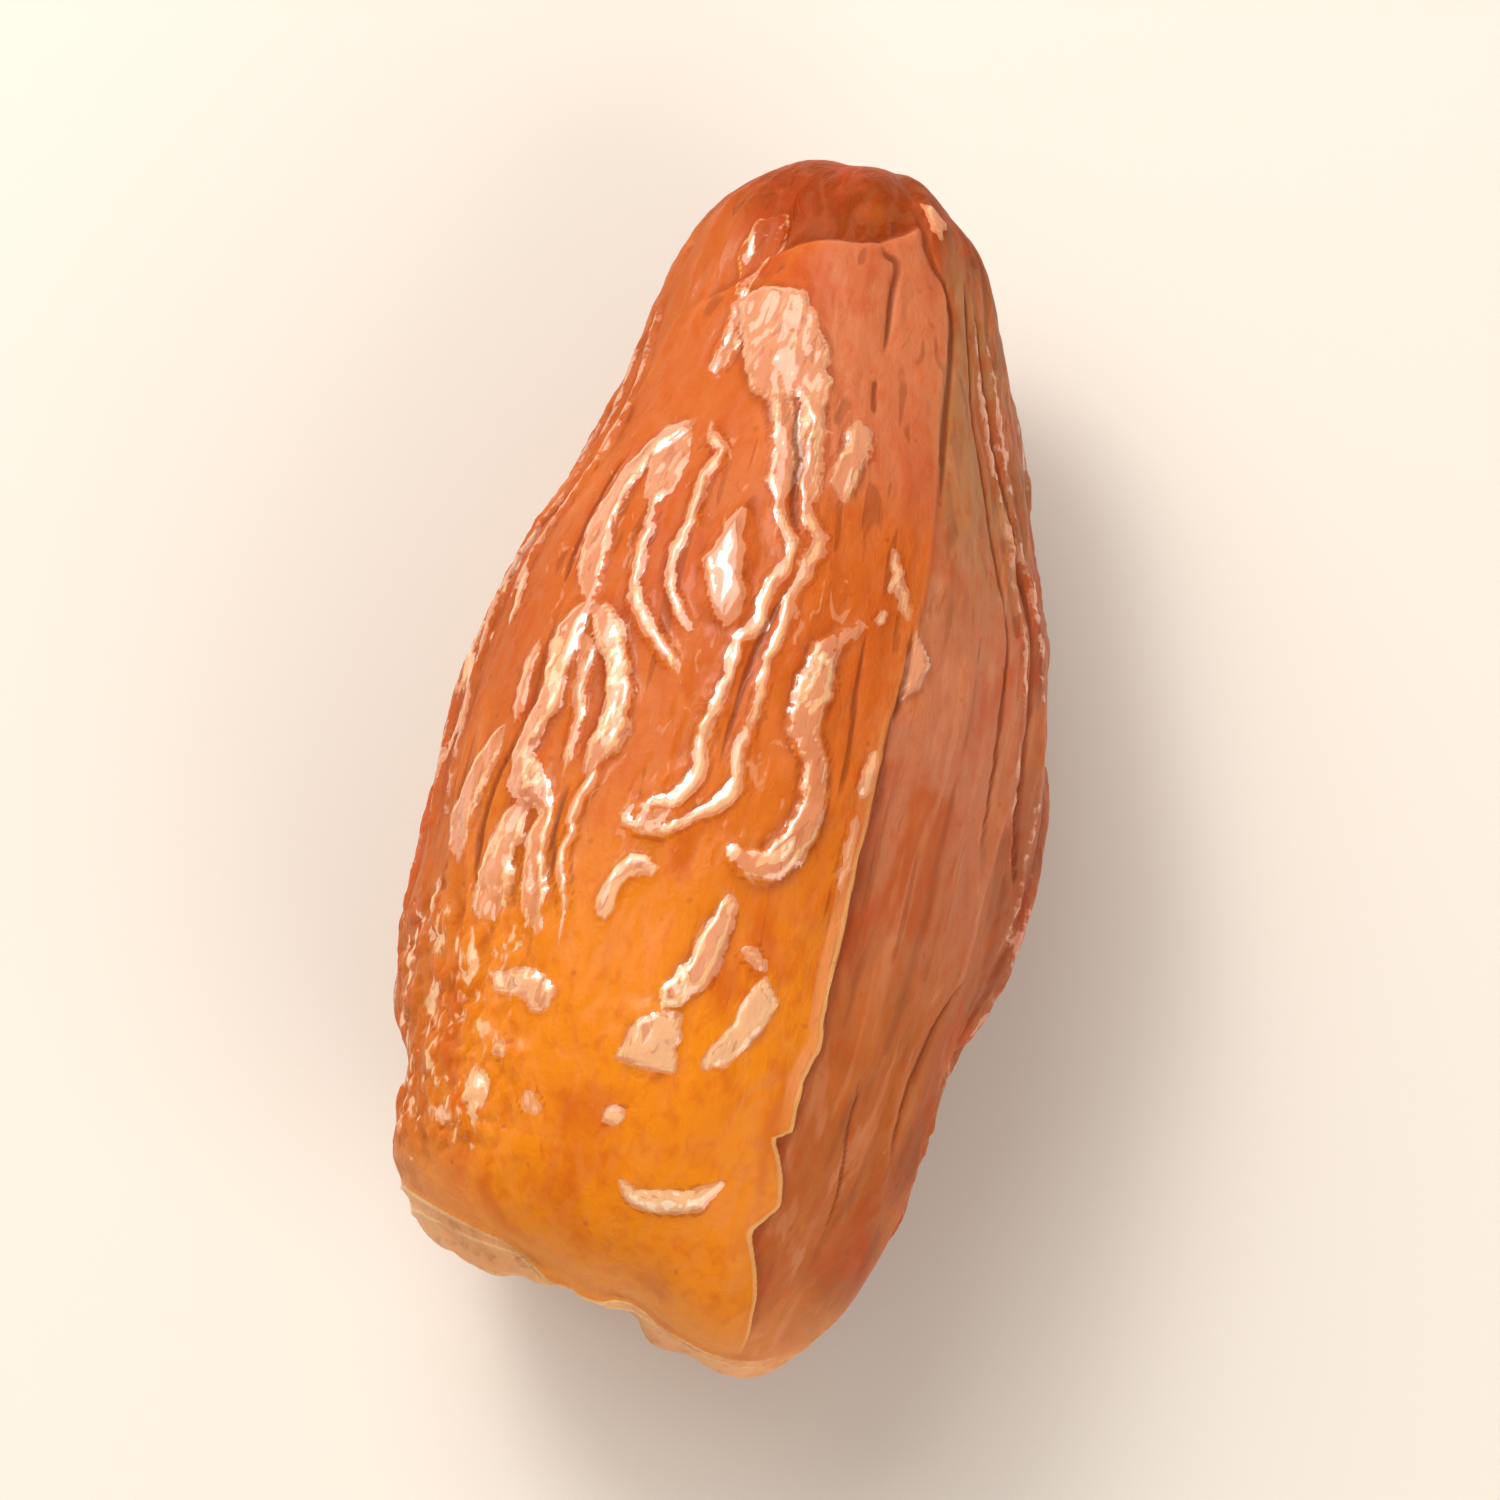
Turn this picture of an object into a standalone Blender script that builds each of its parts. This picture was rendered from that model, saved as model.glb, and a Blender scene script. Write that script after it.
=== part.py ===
"""One whole deglet noor date, lying on its side: a single solid with its dried wrinkles in relief.

The frame is +Z up, with the stem end towards -Y, the tip towards +Y and the origin on the surface
below the middle. Sizes below are millimetres and degrees. A place on the skin is given by y, how
far along the fruit from its middle, and by turn, the angle round it: 0 on top, 90 at its +X side.
"""

import math
import random

import bmesh
import bpy
import numpy as np
from mathutils import Vector, noise

MM = 0.001

# Driving dimensions of the fruit
LENGTH = 41.0
WIDTH = 19.3
HEIGHT = 16.9

# Outline from above: a blunt stem end, a full belly and a tapering tip
STEM_POWERS = (2.8, 2.9)
TIP_POWERS = (9.0, 2.2)
TIP_NARROWING = 0.48
SPINE_RISE = 0.5
SPINE_BOW = (-0.5, -0.05)

# How far the stem end is pushed in, by x: dented left of the middle, and drawn out right of it
STEM_PUSH = (
    (-9.0, 0.5), (-6.4, 1.2), (-2.6, 1.7), (-0.4, 1.7), (1.6, 0.9), (3.6, -0.3), (5.4, -0.8),
    (8.0, -0.6),
)
STEM_PUSH_FROM = -0.68
STEM_UNDERCUT = 0.16
STEM_UNDERCUT_HEIGHT = 3.0

# The loose, flatter side beyond the seam, dents (one swells out), and a soft unevenness
LOOSE_SIDE = (30.0, 92.0)
LOOSE_SIDE_DEPTH = 0.6
DENTS = (
    ((17.2, -72), -0.75, 3.4),
    ((8.4, -88), 0.5, 4.0),
    ((-12.4, -88), 0.7, 1.5),
    ((-8.6, 92), 1.15, 3.8),
    ((-3.4, 46), 0.2, 2.6),
    ((9.5, -50), 0.3, 3.0),
    ((-7.4, -2), 0.15, 2.0),
)
UNEVEN_DEPTH = 0.45
UNEVEN_CELLS_ROUND = 1.5
UNEVEN_CELL_LENGTH = 9.0

# The seam, where the skin of the upper side ends in a low step with a thin raised lip
SEAM = (
    (18.6, 26), (16.9, 30), (15.9, 38), (14.4, 40), (11.3, 36), (8.7, 34), (5.3, 33), (3.0, 31),
    (-0.5, 29), (-3.9, 29), (-7.8, 31), (-10.9, 32), (-11.9, 30.5), (-13.0, 32), (-14.0, 29.5),
    (-15.3, 34), (-16.6, 31.5), (-18.1, 42), (-19.4, 60),
)
SEAM_STEP = 0.4
SEAM_STEP_WIDTH = 0.2
SEAM_LIP = 0.16
SEAM_LIP_WIDTH = 0.32
SEAM_LIP_BACK = 0.25
SEAM_TIP_SHARE = 0.4

# The edge across the narrow end, beyond which the skin is a smooth cap
CAP_EDGE = ((-52, 13.6), (-34, 14.9), (-26, 16.0), (-12, 16.5), (4, 16.6), (14, 17.1), (26, 18.0))
CAP_STEP = 0.3
CAP_STEP_WIDTH = 0.28

# How a fold is shaped: the share of its run over which each end sinks, and how its width swells
FOLD_END = 0.26
FOLD_END_WIDTH = 0.6
FOLD_SWELL = 0.2
FOLD_SWELLS = 11.0
FOLD_ROUNDNESS = 2.1
FOLD_MEETING = 2.5

# Folds that give the upper side its look: ((y, turn), ...), height, half width
FOLDS = (
    (((15.0, -29), (13.6, -17), (12.2, -10), (9.2, -2)), 0.5, 1.25),
    (((12.6, -9), (9.7, -1.5), (8.2, -0.5), (6.1, 1.5), (4.8, 5.5), (3.6, 5), (1.2, 1.5), (-0.8, 0),
      (-3.0, -2), (-4.4, -6), (-5.2, -12)), 0.34, 1.1),
    (((12.2, -11), (9.8, -6.5), (8.3, -3.5), (6.1, -1.5), (4.7, 2.5), (3.6, 2), (2.1, 1.5), (1.0, -2.5),
      (0.0, -4.5), (-1.4, -4.5), (-3.1, -6), (-4.4, -10), (-4.8, -17)), 0.56, 0.4),
    (((11.4, 3), (9.9, 3), (8.5, 3), (6.1, 5), (4.9, 9), (4.1, 9), (2.9, 7), (1.2, 4.5), (-0.7, 4.5),
      (-2.9, 3), (-4.1, 1.5), (-5.2, -4), (-5.7, -11)), 0.56, 0.4),
    (((9.6, -26), (7.6, -18), (6.2, -18), (4.7, -20), (3.2, -19), (1.7, -16), (0.2, -9.5)), 0.56, 0.44),
    (((6.8, -30), (4.9, -28), (3.3, -27), (2.0, -24), (0.7, -18), (-0.2, -13), (-1.8, -7)), 0.56, 0.44),
    (((10.0, -27), (8.5, -33), (6.8, -36), (5.1, -38), (3.6, -38), (1.4, -36)), 0.5, 0.72),
    (((1.9, -36), (0.5, -38), (-1.0, -38.5), (-2.4, -41), (-4.2, -45)), 0.6, 0.62),
    (((1.9, -35), (1.0, -29), (-0.2, -25), (-1.4, -21.5), (-2.7, -22), (-4.2, -25), (-6.7, -27),
      (-10.4, -24)), 0.62, 0.52),
    (((5.8, -11), (3.9, -10), (2.2, -7)), 0.4, 0.95),
    (((4.4, 22), (2.6, 18), (1.1, 14), (-0.4, 12.5), (-1.5, 14), (-3.2, 17.5), (-4.6, 16.5), (-5.8, 12),
      (-5.7, 3)), 0.6, 0.56),
    (((10.2, 13), (8.1, 12), (5.9, 10)), 0.4, 0.55),
    (((5.4, 23), (3.7, 28), (2.4, 31), (0.2, 29)), 0.34, 0.5),
    (((1.6, 20), (-1.4, 22), (-4.2, 24)), 0.26, 0.45),
    (((1.6, -44), (-0.4, -46), (-2.4, -47)), 0.4, 0.48),
    (((-1.6, -49), (-4.0, -55), (-6.2, -59), (-9.0, -60)), 0.44, 0.6),
    (((-4.6, -42), (-6.4, -43), (-9.4, -41)), 0.46, 0.8),
    (((-4.4, -34), (-6.8, -34.5), (-9.6, -32)), 0.4, 0.5),
    (((-6.0, -7), (-6.7, -12), (-8.9, -18)), 0.32, 0.5),
    (((-6.2, 9), (-8.9, 4.5), (-10.6, 1), (-12.6, -5)), 0.42, 0.7),
    (((-8.8, 16), (-10.2, 18), (-11.4, 14), (-12.8, 8)), 0.4, 0.72),
    (((-17.3, -9), (-17.5, 2), (-17.0, 11), (-15.6, 19)), 0.24, 0.45),
    (((14.8, -68), (11.8, -58), (8.5, -56), (5.0, -55), (2.6, -59)), 0.45, 0.5),
    (((13.0, -74), (10.1, -63), (6.1, -63), (3.0, -66), (-0.7, -66), (-4.6, -65)), 0.5, 0.5),
    (((11.5, -84), (6.0, -76), (0.6, -78), (-5.4, -76)), 0.5, 0.55),
    (((16.4, 56), (12.7, 60), (9.5, 65), (4.6, 67), (1.4, 69), (-2.4, 78)), 0.34, 0.36),
    (((15.2, 68), (10.4, 72), (5.2, 76), (0.4, 80), (-5.0, 84)), 0.4, 0.4),
    (((-8.0, 62), (-10.4, 60.5), (-12.6, 65), (-15.2, 80)), 0.22, 0.4),
)

# Folds that cover the rest of the skin, drawn by a seeded rule
OTHER_FOLDS = 34
OTHER_FOLDS_TURNS = (100.0, 262.0)
OTHER_FOLD_HEIGHT = (0.3, 0.55)
OTHER_FOLD_WIDTH = (0.42, 0.75)
OTHER_FOLD_START = (1.0, 16.0)
OTHER_FOLD_STAGGER = 12.0
OTHER_FOLD_LENGTH = (7.0, 17.0)
OTHER_FOLD_RUN = 4.0
OTHER_FOLD_LAST_Y = -17.5
OTHER_FOLD_WANDER = 7.0
SEED = 31

# Low wrinkles between the folds, and the pebbled patch low on the left
WRINKLE_HEIGHT = 0.2
WRINKLE_CELLS_ROUND = 4.6
WRINKLE_CELL_LENGTH = 8.0
WRINKLE_NARROWNESS = 3.2
WRINKLE_SWAY = 0.3
WRINKLE_TOP_SHARE = 0.25
WRINKLE_STEM_SHARE = 0.3
PEBBLE_HEIGHT = 0.28
PEBBLE_SIZE = 1.8
PEBBLE_TURNS = (-22.0, -36.0, -84.0, -100.0)
PEBBLE_YS = (-6.0, -9.0, -15.0, -17.5)

# The stem end: the ring where the skin turns in, the puckers inside it, and the flower's scar
END_RING_AT = (-2.6, -2.3)
END_RING_RADIUS = 4.9
END_RING_HEIGHT = 0.3
END_RING_WIDTH = 0.6
END_SUNK = 0.35
SCAR_AT = (-1.8, -1.6)
SCAR_RADIUS = 1.8
SCAR_DEPTH = 0.7
SCAR_RIM = 0.16
SCAR_RIM_WIDTH = 0.45
SCAR_NUB = 0.18
SCAR_NUB_RADIUS = 0.7
PUCKER_HEIGHT = 0.24
PUCKERS = 10
PUCKER_REACH = 1.3

# The underside, pressed flat where the fruit rests
REST_AT = -1.5
REST_HALF_LENGTH = 12.0
REST_DEPTH = 0.62
REST_SOFTNESS = 0.04
REST_LEVEL = 0.05

# The grid that the skin is drawn on, and the triangles that it is then thinned to
RINGS = 250
POINTS_ROUND = 360
TRIANGLES = 11700

SKIN_COLOUR = (0.80, 0.36, 0.10)
SKIN_ROUGHNESS = 0.28


def smooth(low, high, value):
    """0 up to low, 1 from high on, and an even S between. A low above high turns it round."""
    share = np.clip((value - low) / (high - low), 0.0, 1.0)
    return share * share * (3.0 - 2.0 * share)


def bell(value, width):
    """1 where value is 0, falling away on both sides over about the width."""
    return np.exp(-((value / width) ** 2))


def turned(turn, other):
    """The angle from one turn to another the short way round, from degrees to radians."""
    return np.radians((turn - other + 180.0) % 360.0 - 180.0)


def outline(tau):
    """Half width as a share of the belly's, for tau from -1 at the stem end to 1 at the tip."""
    size = np.clip(np.abs(tau), 0.0, 1.0)
    stem = (1.0 - size ** STEM_POWERS[0]) ** (1.0 / STEM_POWERS[1])
    tip = (1.0 - size ** TIP_POWERS[0]) ** (1.0 / TIP_POWERS[1])
    tip = tip * (1.0 - TIP_NARROWING * smooth(0.0, 1.0, tau))
    return np.where(tau < 0.0, stem, tip)


def stations(count):
    """tau for rings that lie evenly along the skin from pole to pole."""
    angle = np.linspace(0.0, math.pi, 4000)
    tau = -np.cos(angle)
    reach = outline(tau) * WIDTH / 2.0
    step = np.hypot(np.diff(tau) * LENGTH / 2.0, np.diff(reach))
    walked = np.concatenate([[0.0], np.cumsum(step)])
    return np.interp(np.linspace(0.0, walked[-1], count), walked, tau)


def base_form(tau, turn):
    """The smooth fruit: its points, in millimetres, for arrays of tau and turn in radians."""
    reach = outline(tau)
    bow = np.where(tau < 0.0, *SPINE_BOW) * tau * tau
    x = WIDTH / 2.0 * reach * np.sin(turn) + bow
    z = HEIGHT / 2.0 * reach * np.cos(turn) + SPINE_RISE * tau * tau
    push_line = curve_through(STEM_PUSH)
    push = np.interp(x, push_line[:, 0], push_line[:, 1])
    push += STEM_UNDERCUT * (STEM_UNDERCUT_HEIGHT - z)
    y = LENGTH / 2.0 * tau + push * smooth(STEM_PUSH_FROM, -1.0, tau)
    return np.stack([x, y, z], axis=-1)


def outward(points):
    """Unit normals of a grid of points that is closed round its second axis."""
    along = np.gradient(points, axis=0)
    around = np.roll(points, -1, axis=1) - np.roll(points, 1, axis=1)
    normal = np.cross(around, along)
    normal /= np.maximum(np.linalg.norm(normal, axis=-1, keepdims=True), 1e-9)
    normal[0] = (0.0, -1.0, 0.0)
    normal[-1] = (0.0, 1.0, 0.0)
    return normal


def curve_through(points, steps=7):
    """A smooth line through the given pairs of numbers, with steps short runs between each two."""
    ends = np.array([points[0], *points, points[-1]], float)
    line = []
    for before, start, stop, after in zip(ends, ends[1:], ends[2:], ends[3:]):
        for t in np.arange(steps) / steps:
            line.append(0.5 * (
                2.0 * start
                + (stop - before) * t
                + (2.0 * before - 5.0 * start + 4.0 * stop - after) * t**2
                + (3.0 * start - before - 3.0 * stop + after) * t**3
            ))
    line.append(ends[-1])
    return np.array(line)


def fold_relief(y, turn, girth, points, height, width):
    """Height of one fold over the skin. It thins and sinks towards both ends."""
    line = curve_through(points)
    near = (y > line[:, 0].min() - 3 * width) & (y < line[:, 0].max() + 3 * width)
    relief = np.zeros_like(y)
    if not near.any():
        return relief
    here_y, here_turn, radius = y[near], turn[near], girth[near]
    best = np.full(here_y.shape, 1e9)
    share = np.zeros_like(here_y)
    runs = len(line) - 1
    for i in range(runs):
        (y0, turn0), (y1, turn1) = line[i], line[i + 1]
        away = turned(here_turn, turn0) * radius
        run_x = math.radians(turn1 - turn0) * radius
        run_y = y1 - y0
        squared = run_x**2 + run_y**2 + 1e-9
        t = np.clip((away * run_x + (here_y - y0) * run_y) / squared, 0.0, 1.0)
        gap = (away - t * run_x) ** 2 + (here_y - y0 - t * run_y) ** 2
        closer = gap < best
        best = np.where(closer, gap, best)
        share = np.where(closer, (i + t) / runs, share)
    fade = smooth(-0.06, FOLD_END, share) * smooth(-0.06, FOLD_END, 1.0 - share)
    swell = 1.0 + FOLD_SWELL * np.sin(share * FOLD_SWELLS + len(points))
    here_width = width * swell * (FOLD_END_WIDTH + (1.0 - FOLD_END_WIDTH) * fade)
    relief[near] = height * fade * np.exp(-((np.sqrt(best) / here_width) ** FOLD_ROUNDNESS))
    return relief


def other_folds():
    """The seeded folds of the hidden sides: long, wandering, and roughly along the fruit."""
    draw = random.Random(SEED)
    first, last = OTHER_FOLDS_TURNS
    folds = []
    for i in range(OTHER_FOLDS):
        turn = first + (last - first) * (i + draw.uniform(0.2, 0.8)) / OTHER_FOLDS
        start = draw.uniform(*OTHER_FOLD_START) - OTHER_FOLD_STAGGER * (i % 2)
        length = draw.uniform(*OTHER_FOLD_LENGTH)
        count = 4 + int(length / OTHER_FOLD_RUN)
        points = []
        for k in range(count):
            turn += draw.uniform(-1.0, 1.0) * OTHER_FOLD_WANDER
            points.append((max(start - length * k / (count - 1), OTHER_FOLD_LAST_Y), turn))
        folds.append((
            tuple(points),
            draw.uniform(*OTHER_FOLD_HEIGHT),
            draw.uniform(*OTHER_FOLD_WIDTH),
        ))
    return folds


def noise_field(turn, y, cells_round, cell_length, shift):
    """Smooth noise over the skin, cells_round cells per radian of girth and cell_length long."""
    flat = np.zeros(turn.size)
    places = zip(np.sin(turn).ravel(), np.cos(turn).ravel(), y.ravel())
    for i, (side, up, along) in enumerate(places):
        flat[i] = noise.noise(Vector((
            side * cells_round + shift,
            up * cells_round - shift,
            along / cell_length + shift,
        )))
    return flat.reshape(turn.shape)


def wrinkle_relief(turn, y):
    """Fine wrinkles: narrow crests along the fruit, strongest on the sides and below."""
    sway = WRINKLE_SWAY * noise_field(turn, y, 1.1, 7.0, 3.7)
    crest = noise_field(turn + sway, y, WRINKLE_CELLS_ROUND, WRINKLE_CELL_LENGTH, 9.1)
    crest = np.clip(1.0 - WRINKLE_NARROWNESS * np.abs(crest), 0.0, 1.0) ** 1.5
    top = 1.0 - (1.0 - WRINKLE_TOP_SHARE) * smooth(0.2, 0.75, np.cos(turn))
    stem = WRINKLE_STEM_SHARE + (1.0 - WRINKLE_STEM_SHARE) * smooth(-17.0, -9.0, y)
    tip = smooth(0.0, 3.0, LENGTH / 2.0 - y)
    return WRINKLE_HEIGHT * crest * top * stem * tip


def pebble_relief(turn, y, degrees):
    """Small round bumps low on the left of the upper side."""
    near, full, still_full, far = PEBBLE_TURNS
    patch = smooth(near, full, degrees) * smooth(far, still_full, degrees)
    near, full, still_full, far = PEBBLE_YS
    patch *= smooth(near, full, y) * smooth(far, still_full, y)
    bumps = noise_field(turn, y, HEIGHT / 2.0 / PEBBLE_SIZE, PEBBLE_SIZE, 1.9)
    return PEBBLE_HEIGHT * patch * smooth(-0.15, 0.45, bumps)


def seam_relief(y, turn, girth):
    """A low step down to the loose side, with a thin lip along it. It fades towards the tip."""
    line = curve_through(SEAM)
    at_turn = np.interp(y, line[::-1, 0], line[::-1, 1])
    away = turned(turn, at_turn) * girth
    ends = smooth(0.0, 1.2, y - SEAM[-1][0]) * smooth(0.0, 3.5, SEAM[0][0] - y)
    strength = ends * (SEAM_TIP_SHARE + (1.0 - SEAM_TIP_SHARE) * smooth(3.0, -2.0, y))
    fade_round = smooth(7.5, 3.0, np.abs(away))
    step = -0.5 * SEAM_STEP * np.tanh(away / SEAM_STEP_WIDTH) * fade_round
    lip = SEAM_LIP * bell(away + SEAM_LIP_BACK, SEAM_LIP_WIDTH)
    return strength * (step + lip)


def cap_relief(y, turn):
    """A low step down to the smooth cap of the narrow end, on the upper side."""
    line = curve_through(CAP_EDGE)
    beyond = y - np.interp(turn, line[:, 0], line[:, 1])
    window = smooth(-56.0, -36.0, turn) * smooth(34.0, 20.0, turn)
    fade = smooth(-4.0, -0.8, beyond) * smooth(3.0, 1.2, beyond)
    return -0.5 * CAP_STEP * np.tanh(beyond / CAP_STEP_WIDTH) * window * fade


def round_place(points, centre):
    """The angle and the distance of points from an (x, z) centre on the stem end."""
    side = points[..., 0] - centre[0]
    up = points[..., 2] - centre[1]
    return np.arctan2(side, up), np.hypot(side, up)


def stem_end_relief(points):
    """The ring where the skin turns in, puckers inside it, and the dimple of the scar."""
    # Neither ring is round: each one's distance wavers by a few lobes
    angle, out = round_place(points, END_RING_AT)
    out -= 0.3 * np.sin(3.0 * angle + 0.6) + 0.16 * np.sin(7.0 * angle)
    ring = END_RING_HEIGHT * bell(out - END_RING_RADIUS, END_RING_WIDTH)
    sunk = -END_SUNK * smooth(END_RING_RADIUS, END_RING_RADIUS - 1.4, out)

    angle, out = round_place(points, SCAR_AT)
    out += 0.22 * np.sin(2.0 * angle) + 0.1 * np.sin(5.0 * angle)
    dimple = -SCAR_DEPTH * smooth(SCAR_RADIUS, 0.5, out)
    rim = SCAR_RIM * bell(out - SCAR_RADIUS - 0.3, SCAR_RIM_WIDTH)
    nub = SCAR_NUB * bell(out, SCAR_NUB_RADIUS)

    # Puckers are spokes round the scar, unevenly spaced and slightly curled
    twist = 1.5 * np.sin(2.0 * angle) + 0.9 * np.sin(3.0 * angle + 1.0) + 0.5 * out
    spokes = np.cos(PUCKERS * angle + twist) * (0.7 + 0.3 * np.sin(3.0 * angle))
    puckers = PUCKER_HEIGHT * spokes * bell(out - SCAR_RADIUS - PUCKER_REACH, PUCKER_REACH)

    end = smooth(-12.5, -15.5, points[..., 1])
    return end * (ring + sunk + dimple + rim + nub + puckers)


def fold_field(y, degrees, girth):
    """All folds together. Where two meet, the higher one carries on and nothing piles up."""
    total = np.zeros_like(y)
    for points, height, width in (*FOLDS, *other_folds()):
        total += fold_relief(y, degrees, girth, points, height, width) ** FOLD_MEETING
    return total ** (1.0 / FOLD_MEETING)


def form_relief(turn, y, degrees, girth):
    """The large, soft departures from the smooth fruit: unevenness, the loose side, and dents."""
    relief = UNEVEN_DEPTH * noise_field(turn, y, UNEVEN_CELLS_ROUND, UNEVEN_CELL_LENGTH, 5.3)
    first, last = LOOSE_SIDE
    loose = np.sin(np.pi * np.clip((degrees - first) / (last - first), 0.0, 1.0)) ** 2
    relief -= LOOSE_SIDE_DEPTH * loose * smooth(20.0, 12.0, y) * smooth(-20.0, -16.0, y)
    for (at_y, at_turn), depth, radius in DENTS:
        relief -= depth * bell(np.hypot(turned(degrees, at_turn) * girth, y - at_y), radius)
    return relief


def skin_points():
    """The whole skin as a grid of points: a row for each ring, from the stem pole to the tip."""
    tau, turn = np.meshgrid(
        stations(RINGS),
        np.arange(POINTS_ROUND) * (2.0 * math.pi / POINTS_ROUND),
        indexing="ij",
    )
    points = base_form(tau, turn)
    normal = outward(points)
    y = LENGTH / 2.0 * tau
    girth = (WIDTH + HEIGHT) / 4.0 * outline(tau)
    degrees = (np.degrees(turn) + 180.0) % 360.0 - 180.0

    # Folds and dents sink towards both poles, where the rings close up
    steps = np.linalg.norm(np.diff(points, axis=0), axis=-1)
    walked = np.concatenate([np.zeros((1, POINTS_ROUND)), np.cumsum(steps, axis=0)])
    body = smooth(1.0, 5.0, walked) * smooth(0.0, 2.5, walked[-1] - walked)

    # The underside has no folds where it is pressed on the surface
    pressed = smooth(-0.86, -0.96, np.cos(turn))
    pressed *= smooth(REST_HALF_LENGTH, REST_HALF_LENGTH - 4.0, np.abs(y - REST_AT))
    relief = (fold_field(y, degrees, girth) + wrinkle_relief(turn, y)) * (1.0 - pressed)
    relief += pebble_relief(turn, y, degrees) + form_relief(turn, y, degrees, girth)
    relief *= body
    relief += seam_relief(y, degrees, girth) + cap_relief(y, degrees) + stem_end_relief(points)
    points = points + normal * relief[..., None]

    # The surface presses the lowest skin level, with a soft turn round the flat spot
    floor = points[..., 2].min() + REST_DEPTH
    above = (points[..., 2] - floor) / REST_SOFTNESS
    points[..., 2] = floor + REST_SOFTNESS * np.logaddexp(0.0, above)
    return points


def skin_mesh(points):
    """A closed bmesh from the grid of points, in metres, with one point at each pole."""
    made = bmesh.new()
    stem = made.verts.new(points[0].mean(axis=0) * MM)
    rings = [[made.verts.new(p * MM) for p in ring] for ring in points[1:-1]]
    tip = made.verts.new(points[-1].mean(axis=0) * MM)
    count = len(rings[0])
    for i in range(count):
        after = (i + 1) % count
        made.faces.new((stem, rings[0][i], rings[0][after]))
        made.faces.new((tip, rings[-1][after], rings[-1][i]))
        for low, high in zip(rings, rings[1:]):
            made.faces.new((low[i], high[i], high[after], low[after]))
    bmesh.ops.recalc_face_normals(made, faces=made.faces)
    return made


def lighter(mesh_object, triangles):
    """Replaces the object's mesh by one of about that many triangles that keeps the folds."""
    now = sum(len(face.vertices) - 2 for face in mesh_object.data.polygons)
    fewer = mesh_object.modifiers.new("fewer faces", "DECIMATE")
    fewer.ratio = triangles / now
    fewer.use_collapse_triangulate = True
    bpy.context.view_layer.update()
    graph = bpy.context.evaluated_depsgraph_get()
    reduced = bpy.data.meshes.new_from_object(mesh_object.evaluated_get(graph))
    mesh_object.modifiers.clear()
    mesh_object.data = reduced


def rest_flat(mesh):
    """Levels the pressed underside exactly, and sets the frame's origin below the middle."""
    corners = np.array([v.co for v in mesh.vertices])
    level = corners[:, 2].min() + REST_LEVEL * MM
    corners[:, 2] = np.maximum(corners[:, 2], level)
    middle = (corners.min(axis=0) + corners.max(axis=0)) / 2.0
    corners -= (middle[0], middle[1], level)
    mesh.vertices.foreach_set("co", corners.ravel())
    mesh.update()


def skin_material():
    """Amber, moist-looking skin."""
    made = bpy.data.materials.new("date_skin")
    made.use_nodes = True
    shader = made.node_tree.nodes["Principled BSDF"]
    shader.inputs["Base Color"].default_value = (*SKIN_COLOUR, 1.0)
    shader.inputs["Roughness"].default_value = SKIN_ROUGHNESS
    shader.inputs["Metallic"].default_value = 0.0
    return made


def build_date():
    made = skin_mesh(skin_points())
    mesh = bpy.data.meshes.new("date")
    made.to_mesh(mesh)
    made.free()
    date = bpy.data.objects.new("date", mesh)
    bpy.context.scene.collection.objects.link(date)
    lighter(date, TRIANGLES)
    rest_flat(date.data)
    date.data.materials.append(skin_material())
    date.data.shade_smooth()
    return date


def main():
    for old in list(bpy.data.objects):
        bpy.data.objects.remove(old)
    build_date()


main()
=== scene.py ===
# One deglet noor date on its side: the fine skin, its colour and the light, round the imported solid
import math
import random

import bpy
import numpy as np
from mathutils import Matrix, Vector, noise


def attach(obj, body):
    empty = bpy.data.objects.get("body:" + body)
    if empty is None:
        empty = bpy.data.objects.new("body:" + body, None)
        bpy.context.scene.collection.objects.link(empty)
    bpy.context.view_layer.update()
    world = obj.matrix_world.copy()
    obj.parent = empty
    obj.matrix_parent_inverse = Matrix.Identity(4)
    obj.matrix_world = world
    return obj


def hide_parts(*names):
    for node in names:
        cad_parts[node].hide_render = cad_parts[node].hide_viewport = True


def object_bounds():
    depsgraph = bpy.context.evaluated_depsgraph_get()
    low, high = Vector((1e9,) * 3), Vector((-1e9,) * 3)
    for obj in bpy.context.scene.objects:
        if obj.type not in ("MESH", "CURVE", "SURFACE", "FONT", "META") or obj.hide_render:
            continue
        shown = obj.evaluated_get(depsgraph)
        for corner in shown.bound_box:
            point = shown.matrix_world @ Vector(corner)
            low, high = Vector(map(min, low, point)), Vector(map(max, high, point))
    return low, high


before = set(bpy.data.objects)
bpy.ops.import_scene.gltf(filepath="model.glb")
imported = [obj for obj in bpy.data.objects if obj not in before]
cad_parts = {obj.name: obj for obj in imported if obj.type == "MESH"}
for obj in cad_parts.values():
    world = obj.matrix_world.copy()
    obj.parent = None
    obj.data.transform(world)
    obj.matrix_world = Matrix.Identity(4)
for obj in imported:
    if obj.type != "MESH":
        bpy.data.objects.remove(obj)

cadLow, cadHigh = [list(corner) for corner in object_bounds()]
mm = 0.001
collection = bpy.context.scene.collection
print("frame loaded, box", [round(high - low, 4) for low, high in zip(cadLow, cadHigh)])


def smooth(low, high, value):
    # 0 up to low, 1 from high on; a low above high turns it round
    share = np.clip((value - low) / (high - low), 0, 1)
    return share * share * (3 - 2 * share)


def window(value, ends):
    # fades in from the first end to the second, and out from the third to the fourth
    near, full, stillFull, far = ends
    return smooth(near, full, value) * smooth(far, stillFull, value)


def bell(value, width):
    return np.exp(-((value / width) ** 2))


def ridge(value, form):
    height, width = form
    return height * bell(value, width)


def turned(turn, other):
    # the angle between two turns in degrees, the short way round, in radians
    return np.radians((turn - other + 180) % 360 - 180)


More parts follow.
